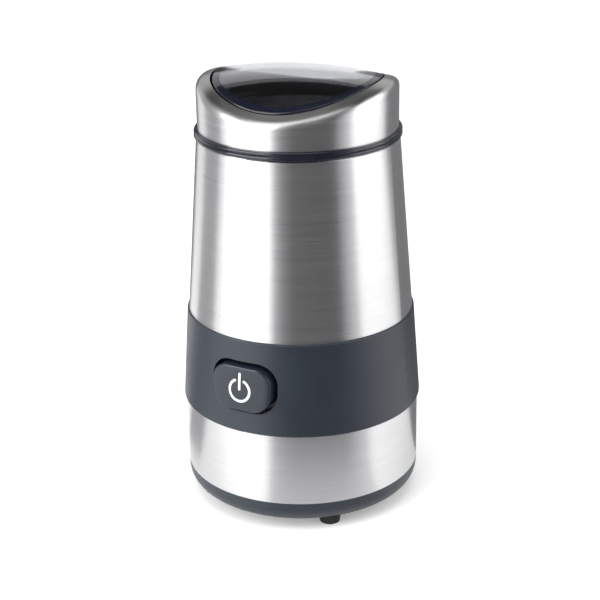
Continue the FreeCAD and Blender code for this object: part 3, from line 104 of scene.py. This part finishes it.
# Node helpers
class Shader:
    """A material's or world's node tree, with short calls for the nodes used here."""

    NOISE_ROUGHNESS = 0.55
    FACTOR_LOW, FACTOR_HIGH = 0.25, 0.75

    def __init__(self, owner):
        owner.use_nodes = True
        self.owner = owner
        self.tree = owner.node_tree
        self.tree.nodes.clear()

    def node(self, kind, **settings):
        made = self.tree.nodes.new(kind)
        for name, value in settings.items():
            setattr(made, name, value)
        return made

    def feed(self, node, socket, source):
        """Sets a socket to a number or links it to another node's socket."""
        if isinstance(source, bpy.types.NodeSocket):
            self.tree.links.new(source, node.inputs[socket])
        else:
            node.inputs[socket].default_value = source

    def math(self, operation, first, second=0.0, clamp=False):
        made = self.node("ShaderNodeMath", operation=operation, use_clamp=clamp)
        self.feed(made, 0, first)
        self.feed(made, 1, second)
        return made.outputs[0]

    def position(self):
        return self.node("ShaderNodeTexCoord").outputs["Object"]

    def stretched(self, x, y, z):
        """The object's own place with each direction scaled by itself."""
        made = self.node("ShaderNodeMapping")
        self.feed(made, "Vector", self.position())
        self.feed(made, "Scale", (x, y, z))
        return made.outputs[0]

    def ringwise(self, along, across):
        """A place that changes slowly round the axis and fast up the wall or out from the axis."""
        parts = self.node("ShaderNodeSeparateXYZ")
        self.feed(parts, 0, self.position())
        x, y, z = parts.outputs
        squares = self.math("ADD", self.math("POWER", x, 2.0), self.math("POWER", y, 2.0))
        reach = self.math("SQRT", squares)
        made = self.node("ShaderNodeCombineXYZ")
        self.feed(made, 0, self.math("MULTIPLY", x, along))
        self.feed(made, 1, self.math("MULTIPLY", y, along))
        self.feed(made, 2, self.math("MULTIPLY", self.math("ADD", reach, z), across))
        return made.outputs[0]

    def noise(self, vector, detail):
        """Noise at a scale of 1: the vector holds the pattern's size."""
        made = self.node("ShaderNodeTexNoise")
        self.feed(made, "Vector", vector)
        self.feed(made, "Scale", 1.0)
        self.feed(made, "Detail", detail)
        self.feed(made, "Roughness", self.NOISE_ROUGHNESS)
        return made.outputs["Fac"]

    def between(self, factor, low, high):
        """A number that runs from low to high over the factor's middle half."""
        made = self.node("ShaderNodeMapRange")
        self.feed(made, 0, factor)
        self.feed(made, 1, self.FACTOR_LOW)
        self.feed(made, 2, self.FACTOR_HIGH)
        self.feed(made, 3, low)
        self.feed(made, 4, high)
        return made.outputs[0]

    def tint(self, factor, low, high):
        """A colour that runs from low to high with the factor."""
        made = self.node("ShaderNodeMix", data_type="RGBA")
        self.feed(made, 0, factor)
        for socket, colour in ((6, low), (7, high)):
            whole = isinstance(colour, bpy.types.NodeSocket)
            self.feed(made, socket, colour if whole else (*colour, 1))
        return made.outputs[2]

    def bump(self, height, distance, strength):
        made = self.node("ShaderNodeBump")
        self.feed(made, "Strength", strength)
        self.feed(made, "Distance", distance)
        self.feed(made, "Height", height)
        return made.outputs[0]

    def principled(self, **inputs):
        made = self.node("ShaderNodeBsdfPrincipled")
        for name, source in inputs.items():
            self.feed(made, name.replace("_", " "), source)
        return made

    def seen_as_background(self):
        """1 for rays that come from the camera, or by way of gloss or glass."""
        path = self.node("ShaderNodeLightPath")
        seen = self.math("ADD", path.outputs["Is Camera Ray"], path.outputs["Is Glossy Ray"])
        return self.math("ADD", seen, path.outputs["Is Transmission Ray"], clamp=True)

    def coloured(self, kind, colour):
        """A shading node of a kind, such as emission, with its colour set."""
        made = self.node(kind)
        self.feed(made, "Color", (*colour, 1))
        return made

    def surface(self, socket):
        """Shows the socket's shading on the owner, which it returns."""
        is_world = isinstance(self.owner, bpy.types.World)
        kind = "ShaderNodeOutputWorld" if is_world else "ShaderNodeOutputMaterial"
        self.feed(self.node(kind), "Surface", socket)
        return self.owner


def new_shader(name):
    return Shader(bpy.data.materials.new(name))


# Finishes, whose patterns are sized by how many cells of noise fit in a metre
WINDOW_RIM = 32.3 * MM
WINDOW_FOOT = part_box("lid_steel_shell")[0][2]


def brushed_steel(name, tone, lip_painted_shade_tone, roughness, spread):
    """Stainless sheet brushed round the axis: fine rings of light and dark, and a highlight
    drawn out across them. What faces up, such as the lid's lip, is painted darker: painted shade."""
    shader = new_shader(name)
    fine = shader.noise(shader.ringwise(45.0, 5200.0), detail=4.0)
    broad = shader.noise(shader.ringwise(12.0, 700.0), detail=3.0)
    both = shader.math("ADD", shader.math("MULTIPLY", fine, 0.65), shader.math("MULTIPLY", broad, 0.35))
    dark, light = [c * 0.86 for c in tone], [c * 1.06 for c in tone]
    sheet = shader.tint(shader.between(both, 0.0, 1.0), dark, light)
    parts = shader.node("ShaderNodeSeparateXYZ")
    shader.feed(parts, 0, shader.node("ShaderNodeNewGeometry").outputs["Normal"])
    # Painted shade: the colour turns towards the darker lip tone where the surface faces up.
    facing_up_painted_shade = shader.between(shader.math("MULTIPLY", parts.outputs[2], 0.8), 0.0, 1.0)
    colour = shader.tint(facing_up_painted_shade, sheet, lip_painted_shade_tone)
    tangent = shader.node("ShaderNodeTangent", direction_type="RADIAL", axis="Z").outputs[0]
    steel = shader.principled(
        Base_Color=colour, Metallic=1.0,
        Roughness=shader.between(both, roughness - 0.05, roughness + 0.07), Anisotropic=spread,
        Anisotropic_Rotation=0.25, Tangent=tangent, Normal=shader.bump(both, 0.00002, 0.2))
    return shader.surface(steel.outputs[0])


def satin_plastic(name, low, high, roughness):
    """Moulded plastic with a fine spark-eroded grain and slightly uneven tone and gloss."""
    shader = new_shader(name)
    pits = shader.noise(shader.stretched(2600, 2600, 2600), detail=4.0)
    cloud = shader.noise(shader.stretched(55, 55, 55), detail=3.0)
    colour = shader.tint(shader.between(cloud, 0.0, 1.0), low, high)
    plastic = shader.principled(
        Base_Color=colour, Roughness=shader.between(cloud, roughness - 0.03, roughness + 0.05),
        Normal=shader.bump(pits, 0.000012, 0.5))
    return shader.surface(plastic.outputs[0])


def smoked_plastic(name, clear, navy, roughness):
    """Polished plastic: a clear smoky window inside a cloudier navy rim and foot ring."""
    shader = new_shader(name)
    parts = shader.node("ShaderNodeSeparateXYZ")
    shader.feed(parts, 0, shader.position())
    x, y, z = parts.outputs
    squares = shader.math("ADD", shader.math("POWER", x, 2.0), shader.math("POWER", y, 2.0))
    rim = shader.math("GREATER_THAN", shader.math("SQRT", squares), WINDOW_RIM)
    foot = shader.math("LESS_THAN", z, WINDOW_FOOT)
    body = shader.math("MAXIMUM", rim, foot)
    wipe = shader.noise(shader.stretched(120, 120, 120), detail=4.0)
    plastic = shader.principled(
        Base_Color=shader.tint(body, clear, navy), IOR=1.49,
        Roughness=shader.math("ADD", shader.between(wipe, roughness, roughness + 0.03),
                              shader.math("MULTIPLY", body, 0.05)),
        Transmission_Weight=shader.math("SUBTRACT", 1.0, shader.math("MULTIPLY", body, 0.30)))
    return shader.surface(plastic.outputs[0])


def polished_steel(name, tone, roughness):
    """Pressed stainless with fine turned rings and small wear."""
    shader = new_shader(name)
    rings = shader.noise(shader.ringwise(20.0, 3000.0), detail=3.0)
    wear = shader.noise(shader.stretched(180, 180, 180), detail=5.0)
    colour = shader.tint(shader.between(wear, 0.0, 1.0), [c * 0.93 for c in tone], tone)
    steel = shader.principled(
        Base_Color=colour, Metallic=1.0, Roughness=shader.between(wear, roughness, roughness + 0.08),
        Normal=shader.bump(rings, 0.00001, 0.3))
    return shader.surface(steel.outputs[0])


def cast_metal(name, low, high, roughness):
    """Rolled or cast metal with a grainy skin."""
    shader = new_shader(name)
    skin = shader.noise(shader.stretched(900, 900, 900), detail=5.0)
    patch = shader.noise(shader.stretched(90, 90, 90), detail=4.0)
    colour = shader.tint(shader.between(patch, 0.0, 1.0), low, high)
    metal = shader.principled(
        Base_Color=colour, Metallic=1.0,
        Roughness=shader.between(skin, roughness - 0.06, roughness + 0.08),
        Normal=shader.bump(skin, 0.00003, 0.5))
    return shader.surface(metal.outputs[0])


def laminations(name):
    """Stacked electrical sheets: thin dark joints every half millimetre under lacquer."""
    sheets_per_metre, joint_share = 2000.0, 0.18
    shader = new_shader(name)
    parts = shader.node("ShaderNodeSeparateXYZ")
    shader.feed(parts, 0, shader.position())
    sheets = shader.math("FRACT", shader.math("MULTIPLY", parts.outputs[2], sheets_per_metre))
    joint = shader.math("LESS_THAN", sheets, joint_share)
    colour = shader.tint(joint, (0.30, 0.30, 0.31), (0.07, 0.07, 0.07))
    steel = shader.principled(
        Base_Color=colour, Metallic=0.8, Roughness=0.45,
        Normal=shader.bump(shader.math("SUBTRACT", 1.0, joint), 0.00005, 0.6))
    return shader.surface(steel.outputs[0])


def windings(name):
    """Enamelled copper wire laid side by side, darker in the grooves between strands: painted shade."""
    shader = new_shader(name)
    strands = shader.node("ShaderNodeTexWave", wave_type="BANDS", bands_direction="Z")
    shader.feed(strands, "Vector", shader.position())
    shader.feed(strands, "Scale", 620.0)
    shader.feed(strands, "Distortion", 2.0)
    height = strands.outputs["Fac"]
    # Painted shade: the wire is darker where the bands are low, in the grooves between strands.
    colour = shader.tint(height, (0.24, 0.08, 0.03), (0.62, 0.27, 0.11))
    wire = shader.principled(
        Base_Color=colour, Metallic=0.85, Roughness=0.32, Coat_Weight=0.6, Coat_Roughness=0.12,
        Normal=shader.bump(height, 0.00012, 0.8))
    return shader.surface(wire.outputs[0])


def rubber(name, tone):
    """Dull rubber or pressed carbon, with a fine skin and a little dust."""
    shader = new_shader(name)
    skin = shader.noise(shader.stretched(1500, 1500, 1500), detail=4.0)
    dust = shader.noise(shader.stretched(70, 70, 70), detail=4.0)
    colour = shader.tint(shader.between(dust, 0.0, 1.0), tone, [c * 1.6 for c in tone])
    soft = shader.principled(
        Base_Color=colour, Roughness=shader.between(skin, 0.68, 0.85), Specular_IOR_Level=0.35,
        Normal=shader.bump(skin, 0.00003, 0.6))
    return shader.surface(soft.outputs[0])


STEEL = (0.60, 0.60, 0.605)
# The darker colour painted on steel that faces up, such as the lid's lip: painted shade.
LIP_PAINTED_SHADE_STEEL = (0.30, 0.295, 0.29)
FINISHES = {
    "brushed_shell": brushed_steel("brushed_shell_finish", STEEL, LIP_PAINTED_SHADE_STEEL, 0.30, 0.82),
    "slate_plastic": satin_plastic("slate_finish", (0.011, 0.017, 0.027), (0.014, 0.021, 0.032), 0.42),
    "housing_plastic": satin_plastic("housing_finish", (0.030, 0.036, 0.044), (0.038, 0.045, 0.054), 0.5),
    "smoked_plastic": smoked_plastic("smoked_finish", (0.74, 0.75, 0.78), (0.018, 0.023, 0.045), 0.02),
    "bowl_steel": polished_steel("bowl_finish", (0.66, 0.66, 0.66), 0.16),
    "foot_rubber": rubber("foot_finish", (0.012, 0.012, 0.013)),
    "gland_rubber": rubber("gland_finish", (0.018, 0.018, 0.020)),
    "screw_steel": polished_steel("screw_finish", (0.58, 0.58, 0.57), 0.24),
    "spring_steel": polished_steel("spring_finish", (0.48, 0.48, 0.49), 0.22),
    "core_steel": laminations("core_finish"),
    "winding_copper": windings("winding_finish"),
    "bearing_bronze": cast_metal("bronze_finish", (0.45, 0.30, 0.13), (0.56, 0.39, 0.19), 0.38),
    "bracket_aluminium": cast_metal("bracket_finish", (0.50, 0.51, 0.52), (0.60, 0.61, 0.62), 0.42),
    "switch_plastic": satin_plastic("switch_finish", (0.018, 0.018, 0.019), (0.025, 0.025, 0.026), 0.38),
    "plunger_plastic": satin_plastic("plunger_finish", (0.60, 0.60, 0.57), (0.68, 0.68, 0.65), 0.4),
    "carbon": rubber("carbon_finish", (0.020, 0.020, 0.021)),
}
BUTTON_FINISH = satin_plastic("button_finish", (0.012, 0.017, 0.027), (0.014, 0.020, 0.031), 0.18)


def dress_nodes():
    """Gives each solid of the frame the finish of its material slot."""
    for entry in frame["record"]["subparts"]:
        node = frame["nodes"][entry["node"]]
        for slot in node.material_slots:
            slot.material = FINISHES[entry["material_slot"]]


# Pieces that follow the photograph more closely than the frame's solids
def smooth_piece(name, mesh, body, slot):
    """Makes a shaded piece of a bmesh, with its sharp edges kept, that rides on a body."""
    bmesh.ops.recalc_face_normals(mesh, faces=mesh.faces)
    data = bpy.data.meshes.new(name)
    mesh.to_mesh(data)
    mesh.free()
    for face in data.polygons:
        face.use_smooth = True
    data.set_sharp_from_angle(angle=SHARP_ANGLE)
    data.materials.append(FINISHES[slot])
    piece = bpy.data.objects.new(name, data)
    bpy.context.scene.collection.objects.link(piece)
    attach(piece, body)
    return piece


def revolved_sections(name, body, slot, section_at, steps):
    """A closed ring whose section, as (reach, height) in millimetres, may change round the axis."""
    mesh = bmesh.new()
    rows = []
    for step in range(steps):
        angle = 2 * math.pi * step / steps
        turned = [(reach * math.cos(angle), reach * math.sin(angle), height)
                  for reach, height in section_at(angle)]
        rows.append([mesh.verts.new(Vector(point) * MM) for point in turned])
    count = len(rows[0])
    for low, high in zip(rows, rows[1:] + rows[:1]):
        for k in range(count):
            after = (k + 1) % count
            mesh.faces.new((low[k], low[after], high[after], high[k]))
    return smooth_piece(name, mesh, body, slot)


def arc(centre, radius, start, end, steps):
    """Points of an arc as (reach, height), between two angles in degrees."""
    angles = [math.radians(start + (end - start) * step / steps) for step in range(steps + 1)]
    return [(centre[0] + radius * math.cos(a), centre[1] + radius * math.sin(a)) for a in angles]


def base_corner():
    """The base's fuller lower corner, a ring that lies on the cover's rounded edge."""
    foot_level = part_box("base_cover")[0][2] / MM
    band_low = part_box("lower_steel_band")[0][2] / MM
    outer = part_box("lower_steel_band")[1][0] / MM
    width, height, bevel = 5.0, 7.0, 1.5
    radius = (width ** 2 + height ** 2) / (2 * width)
    end = -math.degrees(math.asin(height / radius))
    outside = arc((outer - radius, foot_level + bevel + height), radius, 0, end, 10)
    sunk, inner_radius, inner_height, inner_start = 0.7, 9.7, 10, end + 11
    inner_centre = (outer - sunk - inner_radius, foot_level + inner_height)
    inside = arc(inner_centre, inner_radius, inner_start, 0, 8)
    section = [(outer, band_low), *outside, *inside, (outer - sunk, band_low)]
    revolved_sections("base_corner", "housing", "slate_plastic", lambda angle: section, 192)


def bend(before, corner, after, reach, steps):
    """Points that round a corner between two straight runs, drawn in a little to a chord."""
    drawn_in = 0.1
    start = corner + (before - corner).normalized() * reach
    end = corner + (after - corner).normalized() * reach
    points = []
    for step in range(steps + 1):
        share = step / steps
        straight = start.lerp(end, share)
        pulled = start.lerp(corner, share).lerp(corner.lerp(end, share), share)
        points.append(pulled.lerp(straight, drawn_in))
    return points


def lid_sleeve():
    """The lid's steel with a well rounded corner; its lip lies flatter at the two high sides."""
    turn = math.radians(11.0)
    along, across = 185.0, 60.0
    sheet = 0.8
    inner, outer = 36.0, 42.0
    least_rise, more_rise = 1.2, 1.2
    outer_reach, inner_reach = 2.8, 2.0
    crown_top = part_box("lid_window")[1][2] / MM
    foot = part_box("lid_steel_shell")[0][2] / MM

    def crown(x, y):
        """The window's height, which drops along its long curve and across its short one."""
        level_along = crown_top - along + math.sqrt(along ** 2 - x ** 2)
        return level_along - across + math.sqrt(across ** 2 - y ** 2)

    def section(angle):
        own = angle - turn
        lip = crown(inner * math.cos(own), inner * math.sin(own))
        rise = least_rise + more_rise * math.sin(own) ** 2
        corner = Vector((outer, lip - rise))
        low, high = Vector((outer, foot)), Vector((inner, lip))
        down = Vector((0, sheet))
        inner_corner = corner - Vector((sheet, sheet))
        inner_low = low - Vector((sheet, 0))
        round_out = bend(low, corner, high, outer_reach, 10)
        round_in = bend(high - down, inner_corner, inner_low, inner_reach, 6)
        return [low, *round_out, high, high - down, *round_in, inner_low]

    sleeve = revolved_sections("lid_sleeve", "lid", "brushed_shell", section, 256)
    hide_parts("lid_steel_shell")


def rounded_outline(width, height, corner):
    """A rounded rectangle's points as (aside, up), from its upper right corner round."""
    points = []
    for quarter, (side, level) in enumerate(((1, 1), (-1, 1), (-1, -1), (1, -1))):
        centre = (side * (width / 2 - corner), level * (height / 2 - corner))
        points += arc(centre, corner, 90 * quarter, 90 * quarter + 90, 10)
    return points


def button_cap():
    """The button's hollow cap: a centre post inside the spring, a flange behind the band, straight
    sides, a crisp glossy edge, and a face that follows the band. It sits a little low and left in
    its opening, as in the photograph."""
    band_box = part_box("grip_band")
    band_low, band_high = band_box[0][2] / MM, band_box[1][2] / MM
    radius_low = band_box[1][0] / MM
    band_narrowing = 2.9
    taper = band_narrowing / (band_high - band_low)
    middle = (band_low + band_high) / 2
    width, height, corner = 27.6, 19.1, 7.8
    shift_x, shift_y = -0.4, -0.4
    flange, flange_level, flange_gauge = 2.6, -4.8, 0.8
    edge, top = 0.6, 2.1
    wall, post_radius = 2.0, 2.2
    post_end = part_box("power_button")[1][1] / MM
    back = flange_level - flange_gauge
    rings = [(-flange, back), (-flange, flange_level), (0.0, flange_level)]
    for step in range(6):
        angle = math.radians(15 * step + 15)
        rings.append((edge - edge * math.cos(angle), top - edge + edge * math.sin(angle)))
    mesh = bmesh.new()

    def spot(aside, up, raise_by):
        """A point at a height over the band's face, which narrows upwards."""
        aside, level = aside + shift_x, middle + up + shift_y
        reach = radius_low - taper * (level - band_low) + raise_by
        return mesh.verts.new(Vector((aside, -math.sqrt(reach ** 2 - aside ** 2), level)) * MM)

    core = rounded_outline(width - 2 * wall, height - 2 * wall, corner - wall)
    post = rounded_outline(2 * post_radius, 2 * post_radius, post_radius)
    rows = [
        [mesh.verts.new(Vector((aside, post_end, middle + up)) * MM) for aside, up in post],
        [spot(aside - shift_x, up - shift_y, top - wall) for aside, up in post],
        [spot(aside, up, top - wall) for aside, up in core],
        [spot(aside, up, back) for aside, up in core],
    ]
    for inset, raise_by in rings:
        outline = rounded_outline(width - 2 * inset, height - 2 * inset, corner - inset)
        rows.append([spot(aside, up, raise_by) for aside, up in outline])
    face_outline = outline
    for share in (0.8, 0.6, 0.4, 0.2):
        rows.append([spot(aside * share, up * share, top) for aside, up in face_outline])
    for outer, inner in zip(rows, rows[1:]):
        for k in range(len(outer)):
            after = (k + 1) % len(outer)
            mesh.faces.new((outer[k], outer[after], inner[after], inner[k]))
    tip = spot(0, 0, top)
    last = rows[-1]
    for k in range(len(last)):
        mesh.faces.new((last[k], last[(k + 1) % len(last)], tip))
    mesh.faces.new(rows[0])
    cap = smooth_piece("button_cap", mesh, "button", "slate_plastic")
    cap.data.materials[0] = BUTTON_FINISH
    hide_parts("power_button")
    return cap


# The white power symbol on the button
def symbol_lines():
    """The middle lines of the symbol's ring and bar, in millimetres from the ring's centre."""
    ring_radius, ring_steps = 4.7, 60
    gap = math.radians(27)
    ring = []
    for step in range(ring_steps + 1):
        angle = gap + (2 * math.pi - 2 * gap) * step / ring_steps
        ring.append(Vector((ring_radius * math.sin(angle), ring_radius * math.cos(angle))))
    bar_foot, bar_length, bar_steps = 0.6, 6.6, 16
    bar = [Vector((0, bar_foot + bar_length * step / bar_steps)) for step in range(bar_steps + 1)]
    return [ring, bar]


def strip(mesh, line, half, settle):
    """A flat strip with round ends, each point of which is settled on a surface."""
    rows = []
    last = len(line) - 1
    across = 6

    def tangent(index):
        return (line[min(index + 1, last)] - line[max(index - 1, 0)]).normalized()

    def row(centre, direction, width):
        side = Vector((-direction.y, direction.x))
        points = [centre + side * width * (2 * k / across - 1) for k in range(across + 1)]
        rows.append([mesh.verts.new(settle(point)) for point in points])

    end_angles = [share * math.pi / 2 for share in (0.15, 0.5, 0.85)]
    for angle in end_angles:
        centre = line[0] - tangent(0) * half * math.cos(angle)
        row(centre, tangent(0), half * math.sin(angle))
    for index, centre in enumerate(line):
        row(centre, tangent(index), half)
    for angle in reversed(end_angles):
        centre = line[last] + tangent(last) * half * math.cos(angle)
        row(centre, tangent(last), half * math.sin(angle))
    for low, high in zip(rows, rows[1:]):
        for k in range(across):
            mesh.faces.new((low[k], low[k + 1], high[k + 1], high[k]))


def power_symbol(cap):
    """The symbol as thin ink on the cap's face."""
    bpy.context.view_layer.update()
    tree = BVHTree.FromObject(cap, bpy.context.evaluated_depsgraph_get())
    centre = Vector((-0.25, 64.7))
    half_width = 0.54
    proud, ink_thickness = 0.06 * MM, 0.10 * MM
    outside = -200 * MM

    def settle(point):
        place = centre + point
        start = Vector((place.x * MM, outside, place.y * MM))
        hit, normal, _, _ = tree.ray_cast(start, Vector((0, 1, 0)))
        return hit + normal * proud

    mesh = bmesh.new()
    for line in symbol_lines():
        strip(mesh, line, half_width, settle)
    bmesh.ops.recalc_face_normals(mesh, faces=mesh.faces)
    if sum(face.normal.y for face in mesh.faces) > 0:
        bmesh.ops.reverse_faces(mesh, faces=mesh.faces)
    data = bpy.data.meshes.new("power_symbol")
    mesh.to_mesh(data)
    mesh.free()
    symbol = bpy.data.objects.new("power_symbol", data)
    bpy.context.scene.collection.objects.link(symbol)
    ink = symbol.modifiers.new("ink", "SOLIDIFY")
    ink.thickness = ink_thickness
    ink.offset = -1
    data.materials.append(satin_plastic("symbol_ink", (0.78, 0.79, 0.80), (0.84, 0.85, 0.86), 0.4))
    for face in data.polygons:
        face.use_smooth = True
    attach(symbol, "button")


# Floor, light and reflection cards, in metres
WHITE = (1, 1, 1)
FLOOR_HALF = 3.0
FLOOR_GLOW, FAR_FLOOR_GLOW = 0.25, 0.60
GLOW_NEAR, GLOW_FAR = 0.3, 1.6
WORLD_LIGHT = 0.55
CARD_LEVEL = 0.001
LAMP_AIM = 0.09


def floor():
    """White paper that keeps the object's shadow and glows more towards its far edge."""
    data = bpy.data.meshes.new("floor")
    corners = [(x * FLOOR_HALF, y * FLOOR_HALF, 0) for x, y in ((-1, -1), (1, -1), (1, 1), (-1, 1))]
    data.from_pydata(corners, [], [(0, 1, 2, 3)])
    sheet = bpy.data.objects.new("floor", data)
    bpy.context.scene.collection.objects.link(sheet)
    shader = new_shader("floor_paper")
    paper = shader.coloured("ShaderNodeBsdfDiffuse", (0.82, 0.82, 0.82))
    glow = shader.coloured("ShaderNodeEmission", WHITE)
    reach = shader.node("ShaderNodeVectorMath", operation="LENGTH")
    shader.feed(reach, 0, shader.position())
    paler = shader.node("ShaderNodeMapRange")
    shader.feed(paler, 0, reach.outputs["Value"])
    shader.feed(paler, 1, GLOW_NEAR)
    shader.feed(paler, 2, GLOW_FAR)
    shader.feed(paler, 3, FLOOR_GLOW)
    shader.feed(paler, 4, FAR_FLOOR_GLOW)
    strength = shader.math("MULTIPLY", shader.seen_as_background(), paler.outputs[0])
    shader.feed(glow, "Strength", strength)
    sum_up = shader.node("ShaderNodeAddShader")
    shader.feed(sum_up, 0, paper.outputs[0])
    shader.feed(sum_up, 1, glow.outputs[0])
    data.materials.append(shader.surface(sum_up.outputs[0]))


def reflected_only(name, points, faces, tone):
    """A sheet that only metal, gloss and glass see, which shapes their light and dark bands."""
    data = bpy.data.meshes.new(name)
    data.from_pydata(points, [], faces)
    sheet = bpy.data.objects.new(name, data)
    bpy.context.scene.collection.objects.link(sheet)
    sheet.visible_camera = False
    sheet.visible_diffuse = False
    sheet.visible_shadow = False
    shader = new_shader(name + "_reflected_glow")
    # The sheet glows at its tone and is seen only in gloss and glass: it gives the reflected light and
    # dark bands.
    glow = shader.coloured("ShaderNodeEmission", (tone, tone, tone * 1.03))
    data.materials.append(shader.surface(glow.outputs[0]))


def card(name, start, end, tone, near=0.12, distance=0.42, high=1.0):
    """A sheet on the floor from near to distance, and up from there, between two azimuths."""
    steps = 24
    points = []
    for step in range(steps + 1):
        azimuth = start + (end - start) * step / steps
        points.append(standpoint(azimuth, near, CARD_LEVEL))
        points.append(standpoint(azimuth, distance, CARD_LEVEL))
        points.append(standpoint(azimuth, distance, high))
    faces = []
    for k in range(0, 3 * steps, 3):
        faces.append((k, k + 3, k + 4, k + 1))
        faces.append((k + 1, k + 4, k + 5, k + 2))
    reflected_only(name, points, faces, tone)


def ceiling(height, reach, tone):
    """A round sheet over the object."""
    steps = 48
    points = [standpoint(360 * step / steps, reach, height) for step in range(steps)]
    reflected_only("ceiling", points, [tuple(range(steps))], tone)


def lamp(name, azimuth, distance, height, width, tall, power):
    """A soft rectangular lamp, turned to the object's middle."""
    data = bpy.data.lights.new(name, "AREA")
    data.shape = "RECTANGLE"
    data.size = width
    data.size_y = tall
    data.energy = power
    light = bpy.data.objects.new(name, data)
    bpy.context.scene.collection.objects.link(light)
    place = standpoint(azimuth, distance, height)
    light.location = place
    light.rotation_euler = (Vector((0, 0, LAMP_AIM)) - place).to_track_quat("-Z", "Y").to_euler()


def world():
    """Soft light from all round, seen as a white background."""
    shader = Shader(bpy.data.worlds.new("studio"))
    dim = shader.coloured("ShaderNodeBackground", WHITE)
    shader.feed(dim, "Strength", WORLD_LIGHT)
    white = shader.coloured("ShaderNodeBackground", WHITE)
    shader.feed(white, "Strength", 1.0)
    mix = shader.node("ShaderNodeMixShader")
    shader.feed(mix, 0, shader.seen_as_background())
    shader.feed(mix, 1, dim.outputs[0])
    shader.feed(mix, 2, white.outputs[0])
    bpy.context.scene.world = shader.surface(mix.outputs[0])


def studio():
    """The stage. Azimuths are in degrees from the camera's; the number
    after a card's two azimuths is its tone."""
    front = math.degrees(CAMERA_AZIMUTH)
    world()
    floor()
    card("card_front_left", front - 27, front - 19, 0.42)
    card("card_front_soft", front - 19, front - 11, 0.24)
    card("card_front", front - 11, front + 41, 0.14)
    card("card_front_right", front + 41, front + 48, 0.50)
    card("card_front_far", front + 48, front + 58, 0.80)
    # Painted shade: a slightly dimmer glowing sheet that reflections show in place of the floor shaded
    # near the object.
    card("floor_front_painted_shade", front - 24, front + 52, 0.93, near=0.055, distance=0.12, high=0.0012)
    card("card_back_right", front + 110, front + 171, 0.26, near=0.06, high=0.3)
    card("card_back_left", front - 122, front - 92, 0.55, near=0.08)
    card("card_edge_left", front - 171, front - 146, 0.15, near=0.06, high=0.3)
    ceiling(1.15, 1.15, 0.06)
    lamp("softbox_left", front - 58, 0.95, 0.50, 0.9, 1.0, 12.0)
    lamp("softbox_right", front + 80, 0.95, 0.50, 0.9, 1.0, 5.0)
    lamp("overhead", front - 20, 0.25, 1.1, 0.9, 0.9, 7.0)


make_camera()
dress_nodes()
base_corner()
lid_sleeve()
power_symbol(button_cap())
studio()
view = bpy.context.scene.view_settings
view.view_transform = "Standard"
